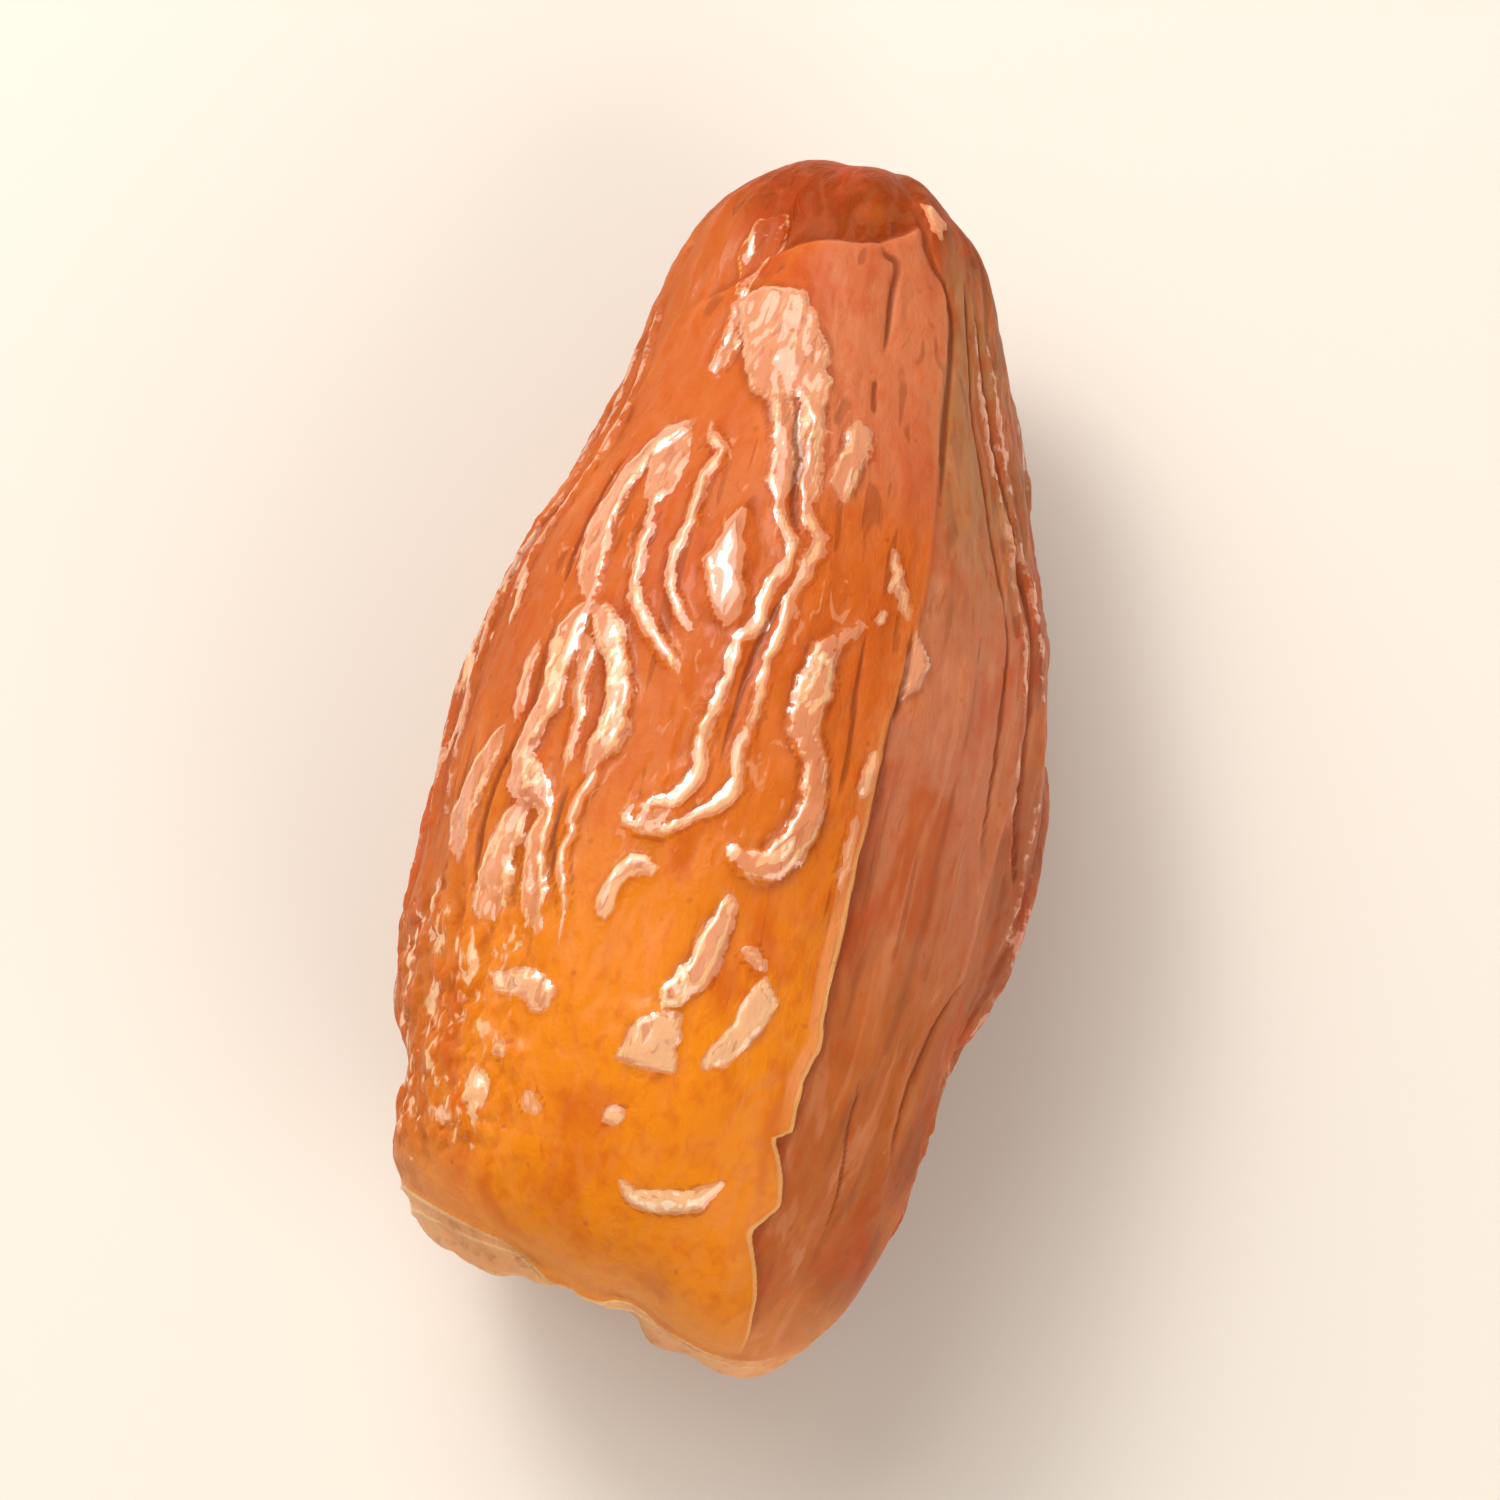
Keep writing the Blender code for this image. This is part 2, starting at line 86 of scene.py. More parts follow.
def curveThrough(points, steps=7):
    # a smooth line through pairs of numbers, with that many short runs between each two
    ends = np.array([points[0], *points, points[-1]], float)
    line = []
    for before, start, stop, after in zip(ends, ends[1:], ends[2:], ends[3:]):
        for t in np.arange(steps) / steps:
            line.append(0.5 * (
                2 * start
                + (stop - before) * t
                + (2 * before - 5 * start + 4 * stop - after) * t**2
                + (3 * start - before - 3 * stop + after) * t**3
            ))
    line.append(ends[-1])
    return np.array(line)


def addNode(tree, kind, inputs=None, **settings):
    # one node with its settings; an input is a value, a socket, or a node whose first output feeds it
    node = tree.nodes.new(kind)
    for name, value in settings.items():
        setattr(node, name, value)
    for key, value in (inputs or {}).items():
        if isinstance(value, bpy.types.Node):
            value = value.outputs[0]
        if isinstance(value, bpy.types.NodeSocket):
            tree.links.new(value, node.inputs[key])
        else:
            node.inputs[key].default_value = value
    return node


def linear(hexColour):
    # sRGB hex to the linear colour that a node takes
    parts = [int(hexColour[i:i + 2], 16) / 255 for i in (1, 3, 5)]
    return (*[p / 12.92 if p <= 0.04045 else ((p + 0.055) / 1.055) ** 2.4 for p in parts], 1)


# Camera: above the stem end, looking down along the fruit
cameraSet = {
    "azimuth": 12.2,      # degrees, 0 looks along +Y
    "elevation": 75,
    "lens": 150,
    "fill": 0.80,         # how much of the picture's height the fruit takes
}
azimuth, elevation = math.radians(cameraSet["azimuth"]), math.radians(cameraSet["elevation"])
ahead = Vector((-math.sin(azimuth), math.cos(azimuth), 0))
towardCamera = -ahead * math.cos(elevation) + Vector((0, 0, math.sin(elevation)))
middle = (Vector(cadLow) + Vector(cadHigh)) / 2
cameraData = bpy.data.cameras.new("camera")
cameraData.lens = cameraSet["lens"]
cameraData.sensor_width = 36
seenHeight = (cadHigh[1] - cadLow[1]) * math.sin(elevation) / cameraSet["fill"]
distance = seenHeight * cameraData.lens / cameraData.sensor_width
camera = bpy.data.objects.new("camera", cameraData)
camera.location = middle + towardCamera * distance
camera.rotation_euler = towardCamera.to_track_quat("Z", "Y").to_euler()
collection.objects.link(camera)
bpy.context.scene.camera = camera
print("camera placed at", round(distance, 3), "m")


# The date's form, in millimetres and degrees. A place on the skin is (y along the fruit, turn round it).
dateForm = {
    "length": 41,
    "width": 19.3,
    "height": 17.1,
    "stemPowers": (2.8, 2.9),     # of the outline at each end, blunter where higher
    "tipPowers": (9, 2.2),
    "tipNarrowing": 0.48,
    "spineRise": 0.5,             # mm at both ends
    "spineBow": (-0.5, -0.05),    # mm to the side at the stem end and the tip
    "stemPush": (                 # mm across, mm that the slanted stem end is pushed in
        (-9, 0.5), (-6.4, 1.2), (-2.6, 1.7), (-0.4, 1.7), (1.6, 0.9), (3.6, -0.3), (5.4, -0.8),
        (8, -0.6),
    ),
    "stemPushFrom": -0.68,        # share of the half length
    "stemUndercut": (0.16, 3),    # mm further in for each mm below the second number
    "uneven": (0.45, 1.5, 9),     # mm, cells round a radian, mm along
    "looseSide": (30, 92, 0.6),       # turns between which the loose side hangs in, and how far
    "looseYs": (20, 12, -16, -20),
    "wholeFrom": (5, 2.5),            # mm from the stem's pole and the tip's from which folds are whole
    "dents": (            # place, depth, radius
        ((17.2, -72), -0.75, 3.4),
        ((8.4, -88), 0.5, 4),
        ((-12.4, -88), 0.7, 1.5),
        ((-8.6, 92), 1.15, 3.8),
        ((-3.4, 46), 0.2, 2.6),
        ((9.5, -50), 0.3, 3),
        ((-7.4, -2), 0.15, 2),
    ),
    "rings": 290,
    "pointsRound": 340,
    "denserTop": 0.34,    # how much closer the points lie on top than at the sides
    "cavitySpread": 8,    # points over which the relief is averaged to find what lies low
}

# The seam, where the skin of the upper side ends in a thin raised lip, and the edge of the tip's cap
seamForm = {
    "places": (
        (18.6, 24), (17.5, 30), (16.6, 35.5), (15.1, 38), (13.8, 38), (12.6, 35), (10, 34), (8.4, 33.5),
        (5.1, 32.5), (3.5, 31), (1.3, 29.5), (0, 28), (-2.7, 28.5), (-4.5, 28.5), (-7.2, 29.5),
        (-9, 30.5), (-10.3, 31.5), (-11.4, 30), (-12.5, 30.8), (-13.1, 31), (-13.4, 28.2), (-13.9, 30),
        (-15.1, 35), (-15.6, 33.5), (-16.1, 31.5), (-16.8, 36), (-17.9, 45), (-18.6, 52), (-19.4, 62),
    ),
    "step": (0.18, 0.08),     # height, half width, as for the lip
    "stepFade": (7.5, 3),     # mm from the seam between which its step shows
    "lip": (0.08, 0.09),
    "lipBack": 0.12,
    "tipShare": 0.25,         # how much of the step is left towards the tip
    "fullYs": (3, -2),        # between which the rest comes in
    "fray": ((0.1, 1.6, 12.4), (0.05, 0.5, 3.1)),    # mm aside, mm along, shift of the noise
    "frayYs": (4, -8),
    "capEdge": (
        (-52, 13.6), (-34, 14.9), (-26, 16), (-12, 16.5), (4, 16.6), (14, 17.1), (26, 18),
    ),
    "capTurns": (-56, -36, 20, 34),
    "capStep": (0.3, 0.14),
    "capFade": (-4, -0.8, 1.2, 3),    # mm past the edge between which the step shows
    "capBorder": (-0.15, 0.15),
    "capCrisp": (-30, -16),           # turns between which its edge turns crisp
    "capSoft": (12.5, 19, 0.85),      # ys between which it comes in softly elsewhere, and its share there
    "patch": ((0.2, -2, -5, -7.6), (0.6, 1.8, 3.2, 4.8)),    # orange patch: ys, mm past the seam
}

# Folds of the upper side: height, half width, how pale and dry the crest is (its paleness partly painted
# highlight), and its places (y, turn)
topFolds = (
    (0.4, 1.1, 0, (15, -26), (14.1, -20), (13, -14), (11.9, -10), (10.2, -5)),
    (0.3, 1, 0, (12.6, -9), (9.7, -1.5), (8.2, -0.5), (6.1, 1.5), (4.8, 5.5), (3.6, 4), (1.2, 0),
     (-0.8, -2), (-2.6, -3), (-3.8, -7), (-4.6, -12)),
    (0.4, 0.2, 1.1, (11, -13), (9.9, -8), (8.9, -5), (8.1, -2), (7, -3), (5.8, -1), (5.3, 2), (4.6, 2),
     (3.6, 0), (2.2, -1), (1.6, -4), (0.7, -4), (-0.3, -5), (-1.4, -6), (-2.3, -6), (-3.1, -6), (-3.8, -9),
     (-4, -12), (-4.3, -17)),
    (0.4, 0.18, 1.1, (10.9, -1), (9.8, 0), (9, 0.5), (8.3, 2), (7.2, 2), (6.2, 4), (5.6, 7), (4.7, 7),
     (3.8, 5), (2.2, 4), (1.9, 3), (0.7, 2), (-0.5, 2), (-1.6, 1), (-2.4, 1), (-3.4, 1), (-4, -2),
     (-4.5, -6), (-4.9, -10), (-4.9, -15), (-4.5, -18)),
    (0.2, 0.36, 0.8, (-4.3, -9), (-4.5, -12), (-4.6, -15)),
    (0.34, 0.38, 1.1, (11.2, -13), (9.9, -7.5), (8.8, -4.5), (7.4, -3.2), (6.4, -2.2)),
    (0.34, 0.36, 1.1, (10.8, -1), (9.7, 0.3), (8.7, 1.2), (7.6, 2), (6.4, 3.4)),
    (0.38, 0.21, 1, (9.9, -28), (8.8, -23), (8.1, -19), (7.3, -20), (6.2, -20), (5.2, -20), (4.2, -21),
     (3.3, -20), (2.2, -16), (1.6, -12)),
    (0.36, 0.21, 1, (6.8, -32), (5.6, -30), (4.2, -29), (3.3, -28), (2.6, -26), (1.7, -22), (1, -18),
     (0.4, -14), (-0.3, -12)),
    (0.4, 0.46, 1.2, (9.3, -30), (8.8, -34), (8.2, -38), (7.4, -40), (6.3, -41), (5.3, -42), (4.2, -40),
     (3.2, -38.5), (2.3, -36.5)),
    (0.5, 0.46, 1.5, (2.4, -36.5), (1.6, -39.5), (0.5, -40), (-0.7, -40), (-1.7, -41.5), (-2.8, -44.5),
     (-3.6, -45)),
    (0.52, 0.43, 1.45, (2.3, -36), (1.9, -32), (1.2, -29), (0.2, -26), (-0.8, -24), (-1.8, -24),
     (-2.7, -26), (-3.4, -27.5)),
    (0.44, 0.19, 1, (-2.4, -25), (-3.6, -26), (-4.2, -28), (-5.3, -28), (-6.4, -28), (-7.4, -26),
     (-9.3, -25)),
    (0.24, 0.17, 0.9, (1, -32), (0, -33), (-1.1, -32), (-1.9, -32), (-2.8, -32), (-3.9, -33)),
    (0.14, 0.7, 0, (-2.6, -40), (-3.5, -39), (-4.8, -38)),
    (0.46, 0.7, 1.35, (-4.5, -41), (-5.6, -43.5), (-6.8, -45), (-8.4, -43.5)),
    (0.38, 0.42, 1.3, (-4.3, -34), (-5.8, -35), (-7.1, -34), (-8.8, -31)),
    (0.36, 0.32, 1, (1.2, -47), (0, -48), (-0.9, -48), (-1.7, -48)),
    (0.42, 0.58, 1.3, (-1.8, -51), (-3.2, -55), (-4.4, -58), (-6.2, -58.5)),
    (0.34, 0.7, 0, (6.3, -11), (5.1, -10), (4.1, -10), (3.1, -9), (2.1, -8)),
    (0.5, 0.45, 1, (3.2, 19), (2, 13), (0.9, 12), (0, 12), (-0.9, 12), (-1.7, 15), (-2.6, 16), (-3.7, 16),
     (-4.6, 14), (-5.3, 11), (-5.3, 7), (-5, 3)),
    (0.34, 0.42, 0.95, (10.1, 12), (9, 12), (8, 10), (6.9, 10)),
    (0.24, 0.26, 0.8, (5.2, 24), (4.4, 27), (3.6, 29)),
    (0.2, 0.2, 1.3, (-0.7, 26), (-1.6, 26.3), (-2.4, 26)),
    (0.18, 0.17, 1.2, (-2.9, 25.6), (-4.2, 25.4), (-5.6, 26.2)),
    (0.18, 0.16, 1.2, (6.1, 23), (5.3, 24.5), (4.5, 24)),
    (0.18, 0.18, 1.2, (3.9, 23.5), (3.3, 22.5)),
    (0.34, 0.17, 1.5, (2.9, -81), (1.5, -77), (0.4, -73), (-0.8, -72.5), (-1.5, -74), (-2.6, -78)),
    (0.28, 0.17, 1.4, (3.9, -63), (2.9, -60), (1.8, -60.5)),
    (0.24, 0.17, 1.4, (-6.6, -66), (-7.4, -64), (-8.2, -65)),
    (0.22, 0.36, 0.8, (14.6, -32), (13.6, -32), (12.7, -30), (11.7, -30), (10.7, -30)),
    (0.36, 0.38, 1.4, (-6.4, 6), (-7.4, 5), (-8.3, 4), (-9.1, 3), (-10.2, 0)),
    (0.3, 0.7, 0, (-10.2, -3), (-11.3, -3), (-12.6, -3)),
    (0.2, 0.24, 0.9, (-7.9, 10), (-8.5, 15)),
    (0.3, 0.25, 1.95, (-15.9, -3), (-16.5, 2), (-16.4, 8), (-15.9, 15), (-15.1, 20)),
    (0.16, 0.26, 0.9, (-12.2, -37), (-12.5, -33)),
    (0.16, 0.26, 0.9, (-13.5, -28), (-14.3, -25)),
    (0.14, 0.26, 1.3, (-13.8, -9), (-14, -5)),
    (0.16, 0.28, 0.9, (-14.3, -55), (-14.6, -50)),
    (0.42, 0.24, 0.7, (15.4, -72), (12.8, -66), (11, -60), (8.5, -57), (7, -59), (5, -62), (2.6, -64)),
    (0.45, 0.26, 0.65, (13, -76), (10.1, -68), (6.1, -68), (3, -70), (-0.7, -70), (-4.6, -68)),
    (0.45, 0.4, 0.5, (11.5, -84), (6, -78), (0.6, -80), (-5.4, -78)),
    (0.3, 0.24, 0.55, (16.4, 56), (12.7, 60), (9.5, 65), (4.6, 67), (1.4, 69), (-2.4, 78)),
    (0.36, 0.3, 0.5, (15.2, 68), (10.4, 72), (5.2, 76), (0.4, 80), (-5, 84)),
    (0.2, 0.28, 0.3, (-8, 62), (-10.4, 60.5), (-12.6, 65), (-15.2, 80)),
)

# Flat flakes of skin: height, how pale the flake and its rim are (partly painted highlight), and its
# corners (y, turn)
flakes = (
    (0.16, 1.3, 0.9, (13.8, -33), (14.1, -31), (14.5, -25), (14.4, -18), (14.3, -10), (13.3, -4),
     (12.3, 0), (11.1, 2.5), (9.9, 3), (8.8, 2.5), (8.9, 0.5), (9.9, -1.5), (10.3, -5), (10.3, -7),
     (9.4, -7), (9.2, -8.5), (10, -11), (10.3, -14), (10.6, -18), (11.9, -24), (13.1, -28)),
    (0.16, 1.1, 0.6, (6.3, -10), (5.6, -8), (4.5, -6), (3.4, -5), (2.4, -4), (1.9, -7), (2.3, -10),
     (3, -12), (4, -14), (4.8, -13), (5.6, -12)),
    (0.07, 2.2, 0.9, (-11.1, -8), (-10.5, -2), (-10.5, 2), (-12.3, 4), (-12.4, -2), (-12.2, -9)),
    (0.08, 2.2, 1.3, (-8.7, 15), (-9, 17), (-9.4, 20), (-10.2, 19), (-11.1, 16), (-11.7, 13), (-12, 9),
     (-11.4, 8), (-10.4, 12), (-9.6, 13)),
    (0.12, 1.7, 1.4, (-5.8, -15), (-5.7, -12), (-6.1, -8), (-6.4, -10), (-6.4, -13), (-6.7, -15),
     (-7.2, -16), (-7.7, -16), (-8, -18), (-7.6, -20), (-7, -19), (-6.2, -17)),
    (0.08, 2, 1, (-9.9, -42), (-9.8, -34), (-9.7, -30), (-10.4, -24), (-11, -25), (-11.2, -29),
     (-10.7, -32), (-10.6, -40)),
    (0.1, 1.25, 0.8, (-2.6, -44), (-2.9, -40.5), (-3.3, -37), (-3.9, -34.5), (-4.6, -33), (-4.8, -36),
     (-4.4, -40), (-4.3, -44), (-3.7, -47), (-3.2, -46.5)),
    (0.1, 0.38, 0.9, (17.6, -29), (16.4, -26), (15.3, -27.5), (14.2, -31), (14, -35), (15, -39), (16, -43),
     (17.1, -41)),
    (0.12, 1.3, 0.8, (19, 29), (18.9, 37), (18.4, 42), (17.7, 37), (18, 31)),
    (0.04, 1.2, 2.2, (1.9, 11.5), (1.5, 14.5), (0.4, 14.5), (-0.5, 12.5), (0.2, 10), (1.2, 10)),
    (0.04, 1.3, 2.2, (1.1, -41.5), (1, -39), (0.2, -38.5), (-0.7, -39.5), (-0.4, -42), (0.4, -42)),
    (0.04, 1.3, 2.2, (0.9, -28.5), (0.6, -26), (-0.4, -24), (-0.5, -26.5), (0.3, -29)),
    (0.04, 1.3, 2.2, (-1, -25.5), (-1.2, -23), (-2, -24), (-2.5, -26.5), (-1.7, -27)),
    (0.04, 1.2, 2, (-4.2, 14.5), (-4.6, 15.5), (-5.2, 12.5), (-5.5, 9), (-5.2, 8.5), (-4.8, 12)),
    (0.03, 1.2, 1.6, (-5.1, 6), (-5.6, 5), (-5.3, 3), (-4.8, 3)),
    (0.03, 1.3, 1.6, (-4.9, -45), (-5.4, -42), (-6.4, -44.5), (-6.2, -47)),
    (0.05, 1.3, 2.2, (-2.9, -43), (-3.2, -38.5), (-3.9, -36.5), (-4, -41)),
    (0.1, 1.3, 2.2, (-9, 0), (-9.4, 3), (-10.2, 1.5), (-10.4, -3), (-9.7, -3)),
    (0.03, 1.3, 2, (-16.1, 2), (-15.9, 8), (-15.6, 14), (-16.2, 15), (-16.7, 8), (-16.7, 2)),
    (0.12, 1.5, 0.8, (3.7, 31), (2.7, 35), (2, 34), (1, 31), (1.3, 29.5), (2.4, 29.5)),
    (0.06, 0.62, 0, (1.4, -38), (1.2, -32), (0, -31), (-1.1, -31), (-1.4, -36), (0, -38)),
    (0.06, 1.3, 0, (9.2, -38), (9.2, -32), (8.9, -28), (8.1, -26), (6.9, -26), (6, -29), (6.2, -33),
     (7.5, -36)),
)
flakeShape = {
    "edge": (-0.06, 0.16),    # mm inside a flake's border where it starts to rise, and where it is full
    "pale": (-0.06, 0.12),
    "rim": (0.1, 0.09),       # mm inside the border, half width
}

# Thin creases, painted darker as shade in them: depth, half width, and places (y, turn)
creases = (
    (0.16, 0.14, (17.1, 8), (16.4, 12), (16.2, 16.5), (15, 16), (13.6, 16), (12.6, 15.5)),
    (0.08, 0.12, (11.8, 14), (11.1, 14.2), (10.3, 15)),
    (0.14, 0.13, (10.2, -5), (9.2, -3), (8, -0.5), (7, 0), (6, 1.5), (5.1, 4.5)),
    (0.1, 0.12, (4.3, 4.5), (2.6, 1.5), (1.2, -0.5), (-0.8, -1.5), (-2.8, -2.5)),
    (0.14, 0.16, (18.6, 26.5), (16.9, 30.5), (15.9, 38.5), (14.4, 40.5), (11.3, 36.5), (8, 34.5)),
    (0.12, 0.12, (4, 30), (2.4, 30), (1.2, 29.5), (0.4, 29)),
    (0.12, 0.12, (17, 50), (13.4, 52), (9.6, 56), (5.2, 60), (1.6, 61), (-2.2, 66)),
    (0.16, 0.14, (16, 61), (12.1, 65), (8.9, 70), (4, 72), (0.8, 74), (-3, 82)),
    (0.12, 0.12, (-6, 74), (-8.2, 67), (-10.8, 66), (-13, 71)),
    (0.1, 0.1, (-10.6, 45), (-11.5, 46), (-12.7, 48), (-14.5, 56), (-15.8, 60)),
    (0.16, 0.14, (15.8, -78), (13.4, -72), (11.6, -65), (9.2, -62), (7.6, -63), (5.6, -67), (2, -70)),
    (0.1, 0.12, (8.8, -46), (6.6, -47), (4.4, -47), (2.6, -45)),
    (0.12, 0.12, (-1.8, -46), (-3.6, -50), (-5.6, -52), (-7.4, -50)),
    (0.12, 0.1, (-3.6, -31), (-5.4, -31.5), (-7, -30)),
    (0.06, 0.1, (3.4, 20), (1.2, 20), (-1, 21), (-3.6, 21)),
)

# Seeded folds of the other sides, and the low wrinkles between all of them
otherFolds = {
    "count": 34,
    "turns": (100, 262),
    "height": (0.3, 0.55),
    "width": (0.42, 0.75),
    "start": (1, 16),         # y where every other fold starts
    "stagger": 12,            # mm that the rest start further down
    "length": (7, 17),
    "run": 4,                 # mm between two points
    "lastY": -17.5,
    "wander": 7,              # degrees from point to point
    "seed": 31,
}
foldShape = {
    "end": 0.26,              # share of a fold's length over which it rises, and the longest in mm
    "endLength": 1.8,
    "endWidth": 0.4,
    "swell": (0.14, 0.95),    # share of the width, and waves along a fold in radians a mm
    "thin": 0.34,             # mm, half width up to which a fold is a round line and not a flat strip
    "roundness": (2.4, 3.8),  # of thin lines and of strips
    "rim": (0.14, 0.1, 0.05),     # mm inside a strip's border, half width, height
    "footShade": (0.11, 0.07),     # mm outside a crest where a thin dark line of painted shade runs, half width
    "topHeight": 0.37,        # the upper side's crests are this much lower and crisper than the solid's
    "meeting": 2.5,           # power that keeps crossing folds from piling up
    "kinks": ((0.1, 7, 1.1), (0.15, 19, 0.42)),    # mm aside, cells round a radian, mm along
    "otherPaleness": 0.45,
}
wrinkleForm = {
    "height": 0.2,
    "cellsRound": 4.6,
    "cellLength": 8,
    "narrowness": 3.2,
    "sway": 0.3,
    "swayCells": (1.1, 7),        # round a radian, mm along
    "topShare": 0.25,
    "topCosines": (0.2, 0.75),    # of the turns between which only that share is left
    "stemShare": 0.3,
    "stemYs": (-17, -9),
    "tipFade": 3,
}
pebbleForm = {
    "height": 0.2,
    "size": 1.5,
    "noise": (-0.15, 0.45),   # where a pebble starts and is full
}
skinZones = {             # turns and ys at which each fades in, is full, is still full and has faded out
    "facet": ((-16, -4, 180, 190), (5, 10, 30, 40)),
    "pebble": ((-22, -36, -84, -100), (-4.5, -8.5, -15, -17.5)),
    "outlineGlints": ((-62, -68, -88, -96), (-3, 0, 5, 8)),
    "worn": ((-64, -52, 14, 26), (-9, -5, 9, 13)),
}

# The stem end: the ring where the skin turns in, puckers inside it, and the scar
stemForm = {
    "ys": (-12.5, -15.5),     # where it fades in
    "ringAt": (-2.6, -2.3),
    "ringRadius": 4.9,
    "ringWaves": ((0.3, 3, 0.6), (0.16, 7, 0)),      # mm, waves round, radians on
    "scarWaves": ((-0.22, 2, 0), (-0.1, 5, 0)),
    "ring": (0.3, 0.6),       # height, half width
    "sunk": 0.35,
    "sunkIn": -1.4,           # mm inside the ring from which it is fully sunk
    "scarAt": (-1.8, -1.6),
    "scarRadius": 1.8,
    "scarFloor": 0.5,         # radius of its floor
    "scarDepth": 0.7,
    "scarRim": (0.16, 0.45),      # height, half width
    "scarRimOut": 0.3,        # mm outside the scar
    "nub": (0.18, 0.7),       # the same
    "puckerHeight": 0.36,
    "puckers": 10,
    "puckerReach": 1.3,
    "twist": ((1.5, 2, 0), (0.9, 3, 1)),     # radians, waves round, radians on
    "dryEdge": (          # turn and y where the dried skin round the stem end begins
        (-180, -17), (-140, -16.6), (-100, -16.4), (-79, -16.9), (-65, -17.7), (-53, -18.4),
        (-43, -19.1), (-38, -19.9), (-32, -20.2), (0, -20.35), (30, -20.2), (60, -19.6), (90, -18.4),
        (130, -17.4), (180, -17),
    ),
    "waver": 0.25,        # mm
    "dryLines": ((0, 0.13, 0.13), (0.75, 0.08, 0.12)),    # mm inside its edge, height, half width
    "lineTurns": (-135, -95, 58, 88),    # between which the lines show
    "lineShare": 0.3,     # of their height elsewhere
}
restForm = {
    "at": -1.5,                   # y of its middle
    "halfLengths": (12, 8),       # mm along between which the pressed skin fades in
    "cosines": (-0.86, -0.96),    # and cosines of the turns
    "depth": 0.62,                # mm that the lowest skin is pressed up
    "softness": 0.04,             # mm, of the flat spot's border
    "level": 0.05,                # mm above its lowest point that becomes exactly flat
}


def fruitOutline(tau):
    size = np.clip(np.abs(tau), 0, 1)
    stem = (1 - size ** dateForm["stemPowers"][0]) ** (1 / dateForm["stemPowers"][1])
    tip = (1 - size ** dateForm["tipPowers"][0]) ** (1 / dateForm["tipPowers"][1])
    tip = tip * (1 - dateForm["tipNarrowing"] * smooth(0, 1, tau))
    return np.where(tau < 0, stem, tip)


def ringPlaces(count):
    # tau for rings that lie evenly along the skin from pole to pole
    tau = -np.cos(np.linspace(0, math.pi, 4000))
    reach = fruitOutline(tau) * dateForm["width"] / 2
    step = np.hypot(np.diff(tau) * dateForm["length"] / 2, np.diff(reach))
    walked = np.concatenate([[0], np.cumsum(step)])
    return np.interp(np.linspace(0, walked[-1], count), walked, tau)


def baseForm(tau, turn):
    reach = fruitOutline(tau)
    bow = np.where(tau < 0, *dateForm["spineBow"]) * tau * tau
    x = dateForm["width"] / 2 * reach * np.sin(turn) + bow
    z = dateForm["height"] / 2 * reach * np.cos(turn) + dateForm["spineRise"] * tau * tau
    line = curveThrough(dateForm["stemPush"])
    share, fromHeight = dateForm["stemUndercut"]
    push = np.interp(x, line[:, 0], line[:, 1]) + share * (fromHeight - z)
    y = dateForm["length"] / 2 * tau + push * smooth(dateForm["stemPushFrom"], -1, tau)
    return np.stack([x, y, z], axis=-1)


def outwardNormals(points):
    along = np.gradient(points, axis=0)
    around = np.roll(points, -1, axis=1) - np.roll(points, 1, axis=1)
    normal = np.cross(around, along)
    normal /= np.maximum(np.linalg.norm(normal, axis=-1, keepdims=True), 1e-9)
    normal[0] = (0, -1, 0)
    normal[-1] = (0, 1, 0)
    return normal


def nearestRun(y, degrees, girth, line):
    # distance to a line of places on the skin, and the nearest spot as a share of the line's runs
    best = np.full(y.shape, 1e9)
    share = np.zeros_like(y)
    for i, ((y0, turn0), (y1, turn1)) in enumerate(zip(line, line[1:])):
        away = turned(degrees, turn0) * girth
        across = math.radians(turn1 - turn0) * girth
        along = y1 - y0
        t = np.clip((away * across + (y - y0) * along) / (across**2 + along**2 + 1e-9), 0, 1)
        gap = (away - t * across) ** 2 + (y - y0 - t * along) ** 2
        share = np.where(gap < best, (i + t) / (len(line) - 1), share)
        best = np.minimum(gap, best)
    return np.sqrt(best), share


def foldReach(y, degrees, girth, places, width):
    # distance from a fold's line as a share of its half width, and how full the fold stands there
    line = curveThrough(places)
    near = (y > line[:, 0].min() - 3 * width) & (y < line[:, 0].max() + 3 * width)
    gap, share = nearestRun(y[near], degrees[near], girth[near], line)
    walked = np.hypot(*np.diff(line * (1, math.radians(1) * girth[near].mean()), axis=0).T).sum()
    end = min(foldShape["end"], foldShape["endLength"] / walked)
    fade = smooth(-0.06, end, share) * smooth(-0.06, end, 1 - share)
    depth, swells = foldShape["swell"]
    swell = 1 + depth * np.sin(share * walked * swells + len(places))
    hereWidth = width * swell * (foldShape["endWidth"] + (1 - foldShape["endWidth"]) * fade)
    return near, gap / hereWidth, hereWidth, fade


def seededFolds():
    draw = random.Random(otherFolds["seed"])
    first, last = otherFolds["turns"]
    folds = []
    for i in range(otherFolds["count"]):
        turn = first + (last - first) * (i + draw.uniform(0.2, 0.8)) / otherFolds["count"]
        start = draw.uniform(*otherFolds["start"]) - otherFolds["stagger"] * (i % 2)
        length = draw.uniform(*otherFolds["length"])
        count = 4 + int(length / otherFolds["run"])
        places = []
        for k in range(count):
            turn += draw.uniform(-1, 1) * otherFolds["wander"]
            places.append((max(start - length * k / (count - 1), otherFolds["lastY"]), turn))
        height = draw.uniform(*otherFolds["height"])
        width = draw.uniform(*otherFolds["width"])
        folds.append((height, width, foldShape["otherPaleness"], *places))
    return folds


def kinkedTurn(y, degrees, girth):
    # turns shifted a little aside, so that no border runs smooth
    aside = np.zeros_like(y)
    for size, cellsRound, cellLength in foldShape["kinks"]:
        aside += size * noiseField(np.radians(degrees), y, cellsRound, cellLength, 2.6)
    return degrees + np.degrees(aside / np.maximum(girth, 1))


